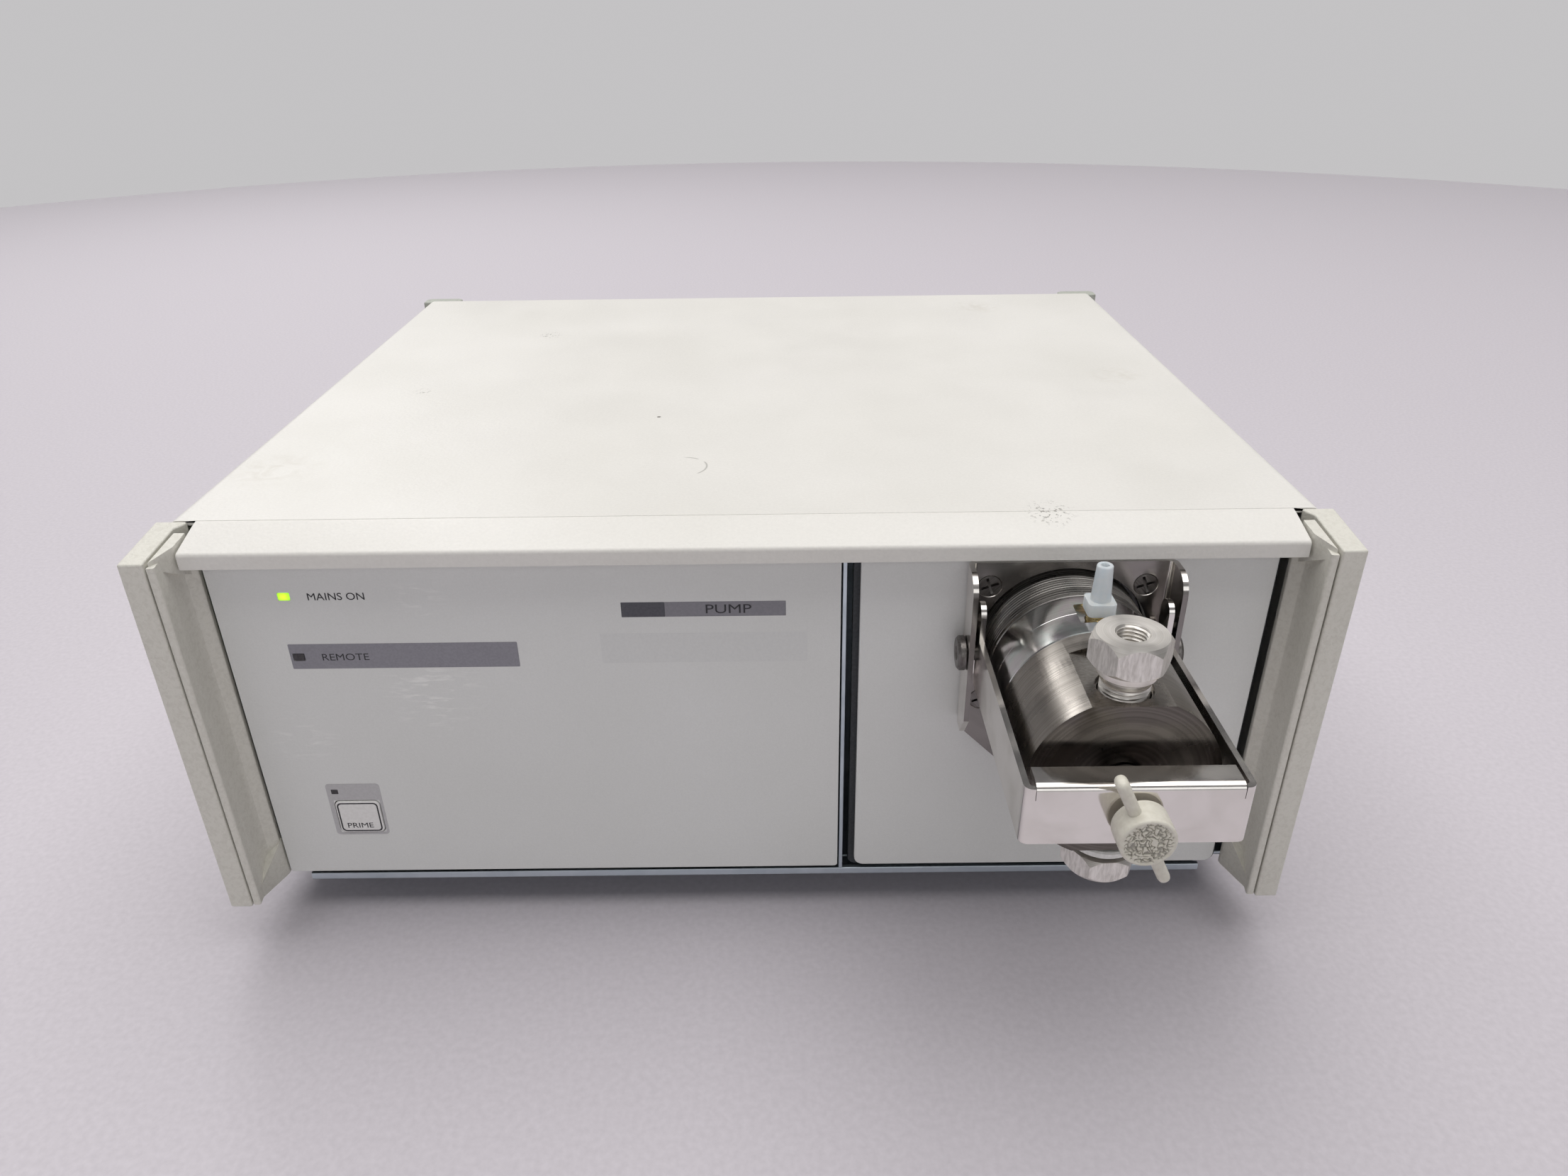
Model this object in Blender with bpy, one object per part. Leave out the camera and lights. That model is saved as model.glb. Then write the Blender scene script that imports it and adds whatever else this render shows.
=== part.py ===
"""Bench-top single-piston metering pump: folded case, front panels, clamped pump head and cam drive.

Lengths are in millimetres from the working datum: x = 0 in the middle, y = 0 at the front faces of
the corner posts (y grows towards the back), z = 0 on the bench. Each object is built in metres with
the part's origin at the centre of the bottom of its box.
"""

import math

import bmesh
import bpy
from mathutils import Vector

# Overall
HALF_WIDTH = 165.0      # outer faces of the corner posts
HEIGHT = 141.0          # top of the cover
FRONT = -71.5           # front of the clamp knob
BACK = 288.5            # back of the rear posts
GAP = 0.3               # clearance between touching pieces
SHEET = 1.5             # folded sheet metal

# Case
COVER_HALF = 162.1
COVER_FRONT = 22.4
COVER_BACK = 280.5
SKIRT_BOTTOM = 17.5
STRIP_HALF = 153.9      # narrow front strip of the cover, between the posts
STRIP_FRONT = 8.3
STRIP_DROP = 3.5        # how far the strip slopes down to its front edge
LIP_BOTTOM = 132.5
POST_DEPTH = 22.1
POST_BOTTOM = 17.2
POST_DROP = 2.5
TRAY_BOTTOM = 13.0
TRAY_HALF = 160.1
TRAY_BACK = 277.0
REAR_PANEL_Y = 277.6
FOOT_RADIUS = 9.0
FOOT_X = 138.0
FOOT_Y = (48.0, 255.0)

# Front panels
PANEL_Y = 15.0
PANEL_TOP = 135.0
CONTROL_LEFT, CONTROL_RIGHT = -151.6, 27.2
FASCIA_LEFT, FASCIA_RIGHT = 32.7, 149.6
PANEL_BOTTOM = 18.2
KEY_X, KEY_Z = -124.6, 40.9
KEY_WIDTH, KEY_HEIGHT = 13.9, 12.3
LED_X = -130.9
MAINS_LED_Z, REMOTE_LED_Z = 120.4, 100.3
LED_WIDTH, LED_HEIGHT = 3.2, 2.2

# Pump head
HEAD_X, HEAD_Z = 91.0, 103.0
HEAD_RADIUS = 23.4
HEAD_FRONT, HEAD_BACK = -50.0, -19.8
RINSE_FRONT, RINSE_BACK = -19.5, -0.8
RING_FRONT, RING_BACK = -0.5, 19.3
FLAT = 21.3             # height of the head's top and bottom flats from its axis
VALVE_Y = -41.5
HEX_FLATS = 17.0
PORT_RADIUS = 3.75
BALL_RADIUS = 1.9
PISTON_RADIUS = 2.4
LUER_X, LUER_Y = 92.8, -10.0

# Bracket and clamp
BRACKET_Y = 13.0
BRACKET_LEFT, BRACKET_RIGHT = 62.3, 120.5
BRACKET_BOTTOM, BRACKET_TOP = 77.0, 129.6
BRACKET_HOLE = 24.6
SCREW_XS, SCREW_ZS = (68.8, 112.5), (84.4, 122.2)
PIN_Y, PIN_Z = 8.0, 103.6
PIN_RADIUS = 2.2
YOKE_LEFT, YOKE_RIGHT = 64.7, 117.3
YOKE_FRONT, YOKE_END = -62.5, 12.6
YOKE_BOTTOM, YOKE_TOP = 95.0, 111.0
CLAMP_Z = 102.5
CLAMP_SCREW_RADIUS = 3.0
KNOB_BACK = -64.0
WING_TILT = math.radians(26)

# Drive
CAST_FRONT = 19.6
CHEEK_XS = ((60.0, 66.0), (116.0, 122.0))
BORE = 12.3
CROSSHEAD_RADIUS = 12.0
ROLLER_Y = 88.0
ROLLER_RADIUS = 8.0
STROKE = 14.0
CAM_LOW = 14.0
CAM_TURN = math.radians(270)
CAM_Y = ROLLER_Y + ROLLER_RADIUS + GAP + CAM_LOW
SHAFT_RADIUS = 6.0
MOTOR_Y = 206.0
MOTOR_HALF = 28.5
MOTOR_SHAFT_RADIUS = 4.0
CAM_PULLEY_RADIUS, MOTOR_PULLEY_RADIUS = 20.0, 8.0
BELT_XS = (127.0, 134.0)

# Rear
INLET_X, INLET_Z = -122.0, 66.0
SIGNAL_X, SIGNAL_Z = -52.0, 76.0

MM = 0.001
ORIGIN = Vector((0.0, (FRONT + BACK) / 2, 0.0))


# ---- building helpers ----

def clear_scene():
    for obj in list(bpy.data.objects):
        bpy.data.objects.remove(obj, do_unlink=True)


def material(name, colour, roughness, metallic=0.0):
    made = bpy.data.materials.new(name)
    made.use_nodes = True
    shader = made.node_tree.nodes["Principled BSDF"]
    shader.inputs["Base Color"].default_value = (*colour, 1.0)
    shader.inputs["Roughness"].default_value = roughness
    shader.inputs["Metallic"].default_value = metallic
    return made


def place(name, mesh, finish, pivot=(0.0, 0.0, 0.0)):
    """Makes the object from a bmesh in datum millimetres, with its origin at pivot."""
    bmesh.ops.recalc_face_normals(mesh, faces=mesh.faces)
    for vert in mesh.verts:
        vert.co = (vert.co - Vector(pivot)) * MM
    data = bpy.data.meshes.new(name)
    mesh.to_mesh(data)
    mesh.free()
    data.shade_smooth()
    data.set_sharp_from_angle(angle=math.radians(35))
    obj = bpy.data.objects.new(name, data)
    obj.location = (Vector(pivot) - ORIGIN) * MM
    if finish:
        data.materials.append(finish)
    bpy.context.scene.collection.objects.link(obj)
    return obj


def prism(outline, axis, start, end):
    """A closed prism: outline is (y, z) along X, (x, z) along Y or (x, y) along Z."""
    def point(a, b, along):
        return {"X": (along, a, b), "Y": (a, along, b), "Z": (a, b, along)}[axis]

    mesh = bmesh.new()
    rings = [[mesh.verts.new(point(a, b, along)) for a, b in outline] for along in (start, end)]
    count = len(outline)
    mesh.faces.new(rings[0])
    mesh.faces.new(rings[1])
    for i in range(count):
        j = (i + 1) % count
        mesh.faces.new((rings[0][i], rings[0][j], rings[1][j], rings[1][i]))
    return mesh


def box(x, y, z):
    return prism([(x[0], y[0]), (x[1], y[0]), (x[1], y[1]), (x[0], y[1])], "Z", z[0], z[1])


def turned(profile, axis, centre, segments=28):
    """Revolves a closed profile of (radius, place along the axis); centre is the axis's point."""
    mesh = bmesh.new()
    cx, cy, cz = centre

    def point(radius, along, angle):
        a, b = radius * math.cos(angle), radius * math.sin(angle)
        return {"X": (along, cy + a, cz + b), "Y": (cx + a, along, cz + b),
                "Z": (cx + a, cy + b, along)}[axis]

    columns = []
    for radius, along in profile:
        if radius == 0:
            columns.append([mesh.verts.new(point(0, along, 0))] * segments)
        else:
            turn = 2 * math.pi / segments
            columns.append([mesh.verts.new(point(radius, along, turn * k)) for k in range(segments)])
    for i, column in enumerate(columns):
        following = columns[(i + 1) % len(columns)]
        for k in range(segments):
            m = (k + 1) % segments
            corners = [column[k], column[m], following[m], following[k]]
            distinct = list(dict.fromkeys(corners))
            if len(distinct) > 2:
                mesh.faces.new(distinct)
    return mesh


def rod(radius, axis, centre, start, end, segments=20):
    return turned([(0, start), (radius, start), (radius, end), (0, end)], axis, centre, segments)


def ring(inner, outer, axis, centre, start, end, segments=28):
    profile = [(inner, start), (outer, start), (outer, end), (inner, end)]
    return turned(profile, axis, centre, segments)


def arc(cx, cy, radius, first, last, steps=4):
    """Points on an arc, angles in degrees."""
    angles = [math.radians(first + (last - first) * k / steps) for k in range(steps + 1)]
    return [(cx + radius * math.cos(a), cy + radius * math.sin(a)) for a in angles]


def rounded(x, z, radius, steps=3):
    """A rectangle's outline with round corners."""
    (x0, x1), (z0, z1) = x, z
    return (arc(x0 + radius, z0 + radius, radius, 180, 270, steps)
            + arc(x1 - radius, z0 + radius, radius, 270, 360, steps)
            + arc(x1 - radius, z1 - radius, radius, 0, 90, steps)
            + arc(x0 + radius, z1 - radius, radius, 90, 180, steps))


def combine(target, mesh, operation):
    """Adds a Boolean of target with the given bmesh, which becomes a hidden tool object."""
    tool = place(f"tool_{target.name}_{len(target.modifiers)}", mesh, None)
    tool.hide_render = True
    tool.display_type = "WIRE"
    modifier = target.modifiers.new(f"{operation.lower()}_{len(target.modifiers)}", "BOOLEAN")
    modifier.operation = operation
    modifier.object = tool
    return target


def cut(target, mesh):
    return combine(target, mesh, "DIFFERENCE")


def join(target, mesh):
    return combine(target, mesh, "UNION")


def slope_top(mesh, top, drop):
    """Lowers a post's top towards the front."""
    for vert in mesh.verts:
        if vert.co.z > top - 1:
            vert.co.z -= drop * max(0.0, 1 - vert.co.y / COVER_FRONT)
    return mesh


def mirrored(outline, side):
    return [(side * x, y) for x, y in outline]


# ---- case ----

def top_cover(finish):
    outer = (arc(-COVER_HALF + 3, HEIGHT - 3, 3, 180, 90) + arc(COVER_HALF - 3, HEIGHT - 3, 3, 90, 0))
    inner_half = COVER_HALF - SHEET
    inner = (arc(inner_half - SHEET, HEIGHT - 3, SHEET, 0, 90)
             + arc(SHEET - inner_half, HEIGHT - 3, SHEET, 90, 180))
    outline = ([(-COVER_HALF, SKIRT_BOTTOM)] + outer + [(COVER_HALF, SKIRT_BOTTOM)]
               + [(inner_half, SKIRT_BOTTOM)] + inner + [(-inner_half, SKIRT_BOTTOM)])
    cover = place("top_cover", prism(outline, "Y", COVER_FRONT, COVER_BACK), finish)
    low = HEIGHT - STRIP_DROP
    strip = [(STRIP_FRONT, LIP_BOTTOM), (STRIP_FRONT, low - 0.6), (STRIP_FRONT + 0.6, low),
             (COVER_FRONT, HEIGHT - 0.15), (COVER_FRONT + 3, HEIGHT - 0.5),
             (COVER_FRONT + 3, HEIGHT - 1.1), (COVER_FRONT, HEIGHT - 1.7),
             (STRIP_FRONT + SHEET, low - SHEET), (STRIP_FRONT + SHEET, LIP_BOTTOM)]
    return join(cover, prism(strip, "X", -STRIP_HALF, STRIP_HALF))


def front_post(name, side, finish):
    outline = [(158.3, 0.6), (158.9, 0), (164.2, 0), (HALF_WIDTH, 0.8), (HALF_WIDTH, POST_DEPTH),
               (156.1, POST_DEPTH), (156.1, 21.0), (158.3, 18.5)]
    mesh = prism(mirrored(outline, side), "Z", POST_BOTTOM, HEIGHT)
    return place(name, slope_top(mesh, HEIGHT, POST_DROP), finish)


def post_liner(name, side, finish):
    """The plastic strip inside a front post, with a gusset at each end."""
    outline = [(157.9, 0.6), (155.8, 0.6), (156.2, 3.0), (156.9, 12.0), (153.0, 15.3), (153.0, 17.0),
               (157.9, 17.0)]
    liner = place(name, prism(mirrored(outline, side), "Z", POST_BOTTOM + 0.3, 137.0), finish)
    foot = [(157.5, 1.4), (152.5, 15.1), (152.5, 16.6), (157.5, 16.6)]
    lower = prism(mirrored(foot, side), "Z", POST_BOTTOM, 31.0)
    for vert in lower.verts:
        if vert.co.z > 30:
            vert.co.z = 19.0 + 12.0 * min(1.0, (vert.co.y - 1.4) / 13.7)
    head = [(157.5, 1.4), (154.4, 9.5), (154.4, 16.6), (157.5, 16.6)]
    upper = prism(mirrored(head, side), "Z", 127.0, HEIGHT - 0.4)
    for vert in upper.verts:
        if vert.co.z < 128:
            vert.co.z = 136.0 - 9.0 * min(1.0, (vert.co.y - 1.4) / 13.7)
        else:
            vert.co.z -= POST_DROP * max(0.0, 1 - vert.co.y / COVER_FRONT)
    return join(join(liner, lower), upper)


def rear_post(name, side, finish):
    outline = [(147.0, COVER_BACK + GAP), (HALF_WIDTH, COVER_BACK + GAP), (HALF_WIDTH, BACK - 2),
               (163.0, BACK), (149.0, BACK), (147.0, BACK - 2)]
    return place(name, prism(mirrored(outline, side), "Z", POST_BOTTOM, HEIGHT - 0.5), finish)


def chassis_tray(finish):
    low, high = TRAY_BOTTOM, TRAY_BOTTOM + SHEET
    channel = [(-TRAY_HALF, low), (TRAY_HALF, low), (TRAY_HALF, 30.0), (TRAY_HALF - SHEET, 30.0),
               (TRAY_HALF - SHEET, high), (SHEET - TRAY_HALF, high), (SHEET - TRAY_HALF, 30.0),
               (-TRAY_HALF, 30.0)]
    tray = place("chassis_tray", prism(channel, "Y", 24.0, TRAY_BACK), finish)
    lip = [(15.8, low + 1.0), (16.8, low + 0.1), (26.0, low + 0.3), (26.0, high - 0.3), (17.4, high - 0.1),
           (17.4, 16.4), (15.8, 16.4)]
    return join(tray, prism(lip, "X", -146.0, 146.0))


def rear_panel(finish):
    y = (REAR_PANEL_Y, REAR_PANEL_Y + SHEET)
    panel = place("rear_panel", box((-158.0, 158.0), y, (15.0, 138.6)), finish)
    through = (y[0] - 2, y[1] + 2)
    cut(panel, box((INLET_X - 14.5, INLET_X + 14.5), through, (INLET_Z - 36, INLET_Z + 36)))
    cut(panel, box((SIGNAL_X - 20, SIGNAL_X + 20), through, (SIGNAL_Z - 5.5, SIGNAL_Z + 5.5)))
    for k in range(7):
        low = 48.0 + 10.0 * k
        cut(panel, box((50.0, 130.0), through, (low, low + 3.6)))
    return panel


def foot(name, x, y, finish):
    top = TRAY_BOTTOM - GAP
    profile = [(0, 0), (FOOT_RADIUS - 1.5, 0), (FOOT_RADIUS - 1, 1), (FOOT_RADIUS, top), (0, top)]
    return place(name, turned(profile, "Z", (x, y, 0), 20), finish)


def divider_wall(finish):
    return place("divider_wall", box((27.7, 28.9), (15.2, 240.0), (17.0, 136.4)), finish)


# ---- front panels ----

def control_panel(finish):
    outline = rounded((CONTROL_LEFT, CONTROL_RIGHT), (PANEL_BOTTOM, PANEL_TOP), 1.0, 2)
    panel = place("control_panel", prism(outline, "Y", PANEL_Y, PANEL_Y + SHEET), finish)
    through = (PANEL_Y - 2, PANEL_Y + 4)
    window = rounded((KEY_X - KEY_WIDTH / 2 - GAP, KEY_X + KEY_WIDTH / 2 + GAP),
                     (KEY_Z - KEY_HEIGHT / 2 - GAP, KEY_Z + KEY_HEIGHT / 2 + GAP), 1.8)
    cut(panel, prism(window, "Y", *through))
    for z in (MAINS_LED_Z, REMOTE_LED_Z):
        cut(panel, box((LED_X - LED_WIDTH / 2 - GAP, LED_X + LED_WIDTH / 2 + GAP), through,
                       (z - LED_HEIGHT / 2 - GAP, z + LED_HEIGHT / 2 + GAP)))
    return panel


def prime_key(finish):
    outline = rounded((KEY_X - KEY_WIDTH / 2, KEY_X + KEY_WIDTH / 2),
                      (KEY_Z - KEY_HEIGHT / 2, KEY_Z + KEY_HEIGHT / 2), 1.5)
    return place("prime_key", prism(outline, "Y", PANEL_Y - 0.5, PANEL_Y + 3.0), finish,
                 (KEY_X, PANEL_Y, KEY_Z))


def led(name, z, finish):
    mesh = box((LED_X - LED_WIDTH / 2, LED_X + LED_WIDTH / 2), (PANEL_Y - 0.1, PANEL_Y + 6.0),
               (z - LED_HEIGHT / 2, z + LED_HEIGHT / 2))
    return place(name, mesh, finish)


def pump_backplate(finish):
    outline = rounded((30.7, 151.0), (16.9, 136.0), 2.5)
    plate = place("pump_backplate", prism(outline, "Y", 17.3, 19.3), finish)
    cut(plate, rod(HEAD_RADIUS + 1, "Y", (HEAD_X, 0, HEAD_Z), 15, 21, 32))
    for x, z in screw_places():
        cut(plate, rod(1.95, "Y", (x, 0, z), 15, 21, 12))
    return plate


def pump_fascia(finish):
    outline = rounded((FASCIA_LEFT, FASCIA_RIGHT), (PANEL_BOTTOM + 0.3, PANEL_TOP), 3.0)
    plate = place("pump_fascia", prism(outline, "Y", PANEL_Y, PANEL_Y + 2.0), finish)
    cut(plate, rod(HEAD_RADIUS + 1, "Y", (HEAD_X, 0, HEAD_Z), 13, 19, 32))
    for x, z in screw_places():
        cut(plate, rod(1.95, "Y", (x, 0, z), 13, 19, 12))
    return plate


# ---- bracket and clamp ----

def screw_places():
    return [(x, z) for z in SCREW_ZS for x in SCREW_XS]


def head_bracket(finish):
    left, right = BRACKET_LEFT, BRACKET_RIGHT
    back = BRACKET_Y + 1.7
    channel = [(left, 2), (left + SHEET, 2), (left + SHEET, BRACKET_Y), (right - SHEET, BRACKET_Y),
               (right - SHEET, 2), (right, 2), (right, back), (left, back)]
    bracket = place("head_bracket", prism(channel, "Z", BRACKET_BOTTOM, BRACKET_TOP), finish)
    tab = [(64.6, 78.5), (64.6, 73.0), (74.5, 63.2), (107.5, 63.2), (117.4, 73.0), (117.4, 78.5)]
    join(bracket, prism(tab, "Y", BRACKET_Y + 0.1, back - 0.1))
    corner = arc(8.0, BRACKET_TOP - 6, 6, 90, 180) + [(0.5, BRACKET_TOP - 6), (0.5, BRACKET_TOP + 1),
                                                      (8.0, BRACKET_TOP + 1)]
    cut(bracket, prism(corner, "X", left - 3, right + 3))
    bevel = [(0.5, BRACKET_BOTTOM - 1), (8.0, BRACKET_BOTTOM - 1), (0.5, BRACKET_BOTTOM + 9)]
    cut(bracket, prism(bevel, "X", left - 3, right + 3))
    cut(bracket, rod(BRACKET_HOLE, "Y", (HEAD_X, 0, HEAD_Z), 10, 18, 36))
    for x, z in screw_places():
        cut(bracket, rod(3.6, "Y", (x, 0, z), 10, 18, 16))
    cut(bracket, rod(PIN_RADIUS + GAP, "X", (0, PIN_Y, PIN_Z), left - 3, right + 3, 16))
    return bracket


def bracket_screw(name, x, z, finish):
    profile = [(0, BRACKET_Y), (3.25, BRACKET_Y), (3.25, BRACKET_Y + 0.4), (1.6, BRACKET_Y + 2.0),
               (1.6, 27.0), (0, 27.0)]
    screw = place(name, turned(profile, "Y", (x, 0, z), 16), finish)
    for wide, tall in ((2.6, 0.7), (0.7, 2.6)):
        cut(screw, box((x - wide / 2, x + wide / 2), (BRACKET_Y - 1, BRACKET_Y + 1.0),
                       (z - tall / 2, z + tall / 2)))
    return screw


def pivot_pin(name, side, finish):
    """A shouldered pin through a bracket flange into the yoke's hook; side is -1 left, 1 right."""
    if side < 0:
        flange, inner = BRACKET_LEFT - GAP, YOKE_LEFT + 1.3
    else:
        flange, inner = BRACKET_RIGHT + GAP, YOKE_RIGHT - 1.3
    profile = [(0, inner), (PIN_RADIUS, inner), (PIN_RADIUS, flange), (5.0, flange),
               (5.0, flange + side * 1.7), (4.5, flange + side * 2.2), (0, flange + side * 2.2)]
    return place(name, turned(profile, "X", (0, PIN_Y, PIN_Z), 20), finish)


def clamp_yoke(finish):
    """A U of nickelled strip whose arms hook over the pins and whose bridge carries the screw."""
    half = PIN_RADIUS + GAP
    slot = ([(PIN_Y - half, YOKE_BOTTOM)] + arc(PIN_Y, PIN_Z, half, 180, 0, 6)
            + [(PIN_Y + half, YOKE_BOTTOM)])
    ear = [(7.9, YOKE_TOP), (7.9, 118.5)] + arc(4.45, 118.5, 3.45, 0, 180, 6) + [(1.0, YOKE_TOP)]
    arm = ([(YOKE_FRONT + 0.2, YOKE_BOTTOM)] + slot + [(YOKE_END, YOKE_BOTTOM), (YOKE_END, YOKE_TOP - 2),
           (YOKE_END - 2, YOKE_TOP)] + ear + [(YOKE_FRONT + 0.2, YOKE_TOP)])
    left_arm = prism(arm, "X", YOKE_LEFT, YOKE_LEFT + SHEET)
    yoke = place("clamp_yoke", left_arm, finish, (HEAD_X, PIN_Y, PIN_Z))
    join(yoke, box((YOKE_LEFT + 0.2, YOKE_RIGHT - 0.2), (YOKE_FRONT, YOKE_FRONT + SHEET),
                   (YOKE_BOTTOM + 0.2, YOKE_TOP - 0.2)))
    join(yoke, prism(arm, "X", YOKE_RIGHT - SHEET, YOKE_RIGHT))
    join(yoke, box((YOKE_LEFT + 1.8, YOKE_RIGHT - 1.8), (YOKE_FRONT + 0.4, -55.0), (110.0, 111.4)))
    join(yoke, rod(5.5, "Y", (HEAD_X, 0, CLAMP_Z), YOKE_FRONT + 0.6, -58.8, 20))
    cut(yoke, rod(CLAMP_SCREW_RADIUS + GAP, "Y", (HEAD_X, 0, CLAMP_Z), -65, -55, 16))
    return yoke


def thrust_pad(finish):
    profile = [(0, HEAD_FRONT - 4.5), (4.0, HEAD_FRONT - 4.5), (4.0, HEAD_FRONT - 3.3),
               (6.0, HEAD_FRONT - 2.8), (6.0, HEAD_FRONT - GAP), (0, HEAD_FRONT - GAP)]
    centre = (HEAD_X, 0, CLAMP_Z)
    return place("thrust_pad", turned(profile, "Y", centre, 24), finish, (HEAD_X, HEAD_FRONT, CLAMP_Z))


def clamp_screw(finish):
    tip = HEAD_FRONT - 4.5 - GAP
    return place("clamp_screw", rod(CLAMP_SCREW_RADIUS, "Y", (HEAD_X, 0, CLAMP_Z), -69.0, tip, 16), finish,
                 (HEAD_X, tip, CLAMP_Z))


def clamp_knob(finish):
    profile = [(0, FRONT), (6.0, FRONT), (6.5, FRONT + 0.5), (6.5, KNOB_BACK), (0, KNOB_BACK)]
    knob = place("clamp_knob", turned(profile, "Y", (HEAD_X, 0, CLAMP_Z), 28), finish,
                 (HEAD_X, KNOB_BACK, CLAMP_Z))
    wing = [(-16.0, -1.0), (-15.4, -1.5), (15.4, -1.5), (16.0, -1.0), (16.0, 1.0), (15.4, 1.5),
            (-15.4, 1.5), (-16.0, 1.0)]
    lean = math.pi / 2 + WING_TILT
    turned_wing = [(HEAD_X + a * math.cos(lean) - b * math.sin(lean),
                    CLAMP_Z + a * math.sin(lean) + b * math.cos(lean)) for a, b in wing]
    join(knob, prism(turned_wing, "Y", KNOB_BACK - 5.0, KNOB_BACK - 0.4))
    return cut(knob, rod(CLAMP_SCREW_RADIUS + GAP, "Y", (HEAD_X, 0, CLAMP_Z), -69.3, -60, 16))


# ---- pump head ----

def head_rear_ring(finish):
    groove = HEAD_RADIUS - 0.5
    profile = [(3.0, RING_FRONT), (HEAD_RADIUS, RING_FRONT), (HEAD_RADIUS, 1.5), (groove, 1.7),
               (groove, 2.6), (HEAD_RADIUS, 2.8), (HEAD_RADIUS, 5.2), (groove, 5.4), (groove, 6.3),
               (HEAD_RADIUS, 6.5), (HEAD_RADIUS, RING_BACK), (12.6, RING_BACK), (12.6, 4.0), (3.0, 4.0)]
    return place("head_rear_ring", turned(profile, "Y", (HEAD_X, 0, HEAD_Z), 28), finish)


def rinse_ring(finish):
    profile = [(2.8, RINSE_FRONT), (HEAD_RADIUS, RINSE_FRONT), (HEAD_RADIUS, RINSE_BACK), (2.8, RINSE_BACK)]
    part = place("rinse_ring", turned(profile, "Y", (HEAD_X, 0, HEAD_Z), 28), finish)
    return cut(part, rod(2.6, "Z", (LUER_X, LUER_Y, 0), 115.0, 130.0, 12))


def head_body(finish):
    """The liquid end: a flatted cylinder with the piston bore and the two valve pockets."""
    flat = math.degrees(math.asin(FLAT / HEAD_RADIUS))
    outline = (arc(HEAD_X, HEAD_Z, HEAD_RADIUS, -flat, flat, 14)
               + arc(HEAD_X, HEAD_Z, HEAD_RADIUS, 180 - flat, 180 + flat, 14))
    body = place("head_body", prism(outline, "Y", HEAD_FRONT, HEAD_BACK), finish)
    for sign in (1, -1):
        high = HEAD_Z + sign * (FLAT - 0.1)
        collar = arc(HEAD_X, HEAD_Z, HEAD_RADIUS - 0.05, sign * 24, sign * 156, 10)
        if sign < 0:
            collar = collar[::-1]
        middle = [(x, z) for x, z in collar if sign * (z - HEAD_Z) > FLAT - 3]
        ends = [(middle[-1][0], high - sign * 3), (middle[0][0], high - sign * 3)]
        join(body, prism(middle + ends, "Y", -26.5, HEAD_BACK - 0.1))
    cut(body, rod(2.8, "Y", (HEAD_X, 0, HEAD_Z), -46.0, -15.0, 16))
    cut(body, rod(6.2, "Y", (HEAD_X, 0, HEAD_Z), -23.6, -15.0, 20))
    for sign in (1, -1):
        pocket, rim = HEAD_Z + sign * 9.0, HEAD_Z + sign * 30.0
        cut(body, rod(6.4, "Z", (HEAD_X, VALVE_Y, 0), min(pocket, rim), max(pocket, rim), 20))
        mouth = HEAD_Z + sign * (FLAT - 1.2)
        cut(body, rod(6.9, "Z", (HEAD_X, VALVE_Y, 0), min(mouth, rim), max(mouth, rim), 20))
        cut(body, rod(1.2, "Z", (HEAD_X, VALVE_Y, 0), min(HEAD_Z, pocket + sign),
                      max(HEAD_Z, pocket + sign), 10))
    return body


def hexagon(flats):
    """A hexagon's outline with a flat side to the front."""
    corner = flats / math.sqrt(3)
    return arc(HEAD_X, VALVE_Y, corner, 0, 300, 5)


def valve(name, sign, groove, hex_near, hex_far, finish):
    """A check-valve body screwed into the head; sign is 1 on the outlet and -1 on the inlet.

    Places along z are distances from the head's axis. The ball chamber opens into both passages.
    """
    corner = HEX_FLATS / math.sqrt(3)
    def z(distance):
        return HEAD_Z + sign * distance

    chamber = (11.0, 16.0) if sign > 0 else (12.0, 17.0)
    port = hex_far - 9.0
    profile = [(0.9, z(9.4)), (5.4, z(9.4)), (6.0, z(10.0)), (6.0, z(groove)), (5.2, z(groove + 0.5)),
               (5.2, z(groove + 1.6)), (6.0, z(groove + 2.0)), (6.0, z(hex_near + 1)),
               (0.9, z(hex_near + 1))]
    body = place(name, turned(profile, "Z", (HEAD_X, VALVE_Y, 0), 24), finish)
    join(body, prism(hexagon(HEX_FLATS), "Z", z(hex_near), z(hex_far)))
    crown = [(corner - 1.4, z(hex_far + 1)), (corner - 1.4, z(hex_far)), (corner + 0.1, z(hex_far - 1.9)),
             (corner + 2, z(hex_far - 1.9)), (corner + 2, z(hex_far + 1))]
    cut(body, turned(crown, "Z", (HEAD_X, VALVE_Y, 0), 24))
    if sign > 0:
        join(body, rod(7.0, "Z", (HEAD_X, VALVE_Y, 0), z(groove + 2.0), z(hex_near + 0.5), 24))
    for radius, near, far in ((0.9, 8.0, 13.0), (2.4, *chamber), (1.0, 15.0, port + 1),
                              (PORT_RADIUS, port, hex_far + 2)):
        low, high = sorted((z(near), z(far)))
        cut(body, rod(radius, "Z", (HEAD_X, VALVE_Y, 0), low, high, 16))
    return body


def ball(name, z, finish):
    mesh = bmesh.new()
    bmesh.ops.create_icosphere(mesh, subdivisions=2, radius=BALL_RADIUS)
    bmesh.ops.translate(mesh, verts=mesh.verts, vec=(HEAD_X, VALVE_Y, z))
    return place(name, mesh, finish, (HEAD_X, VALVE_Y, z))


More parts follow.
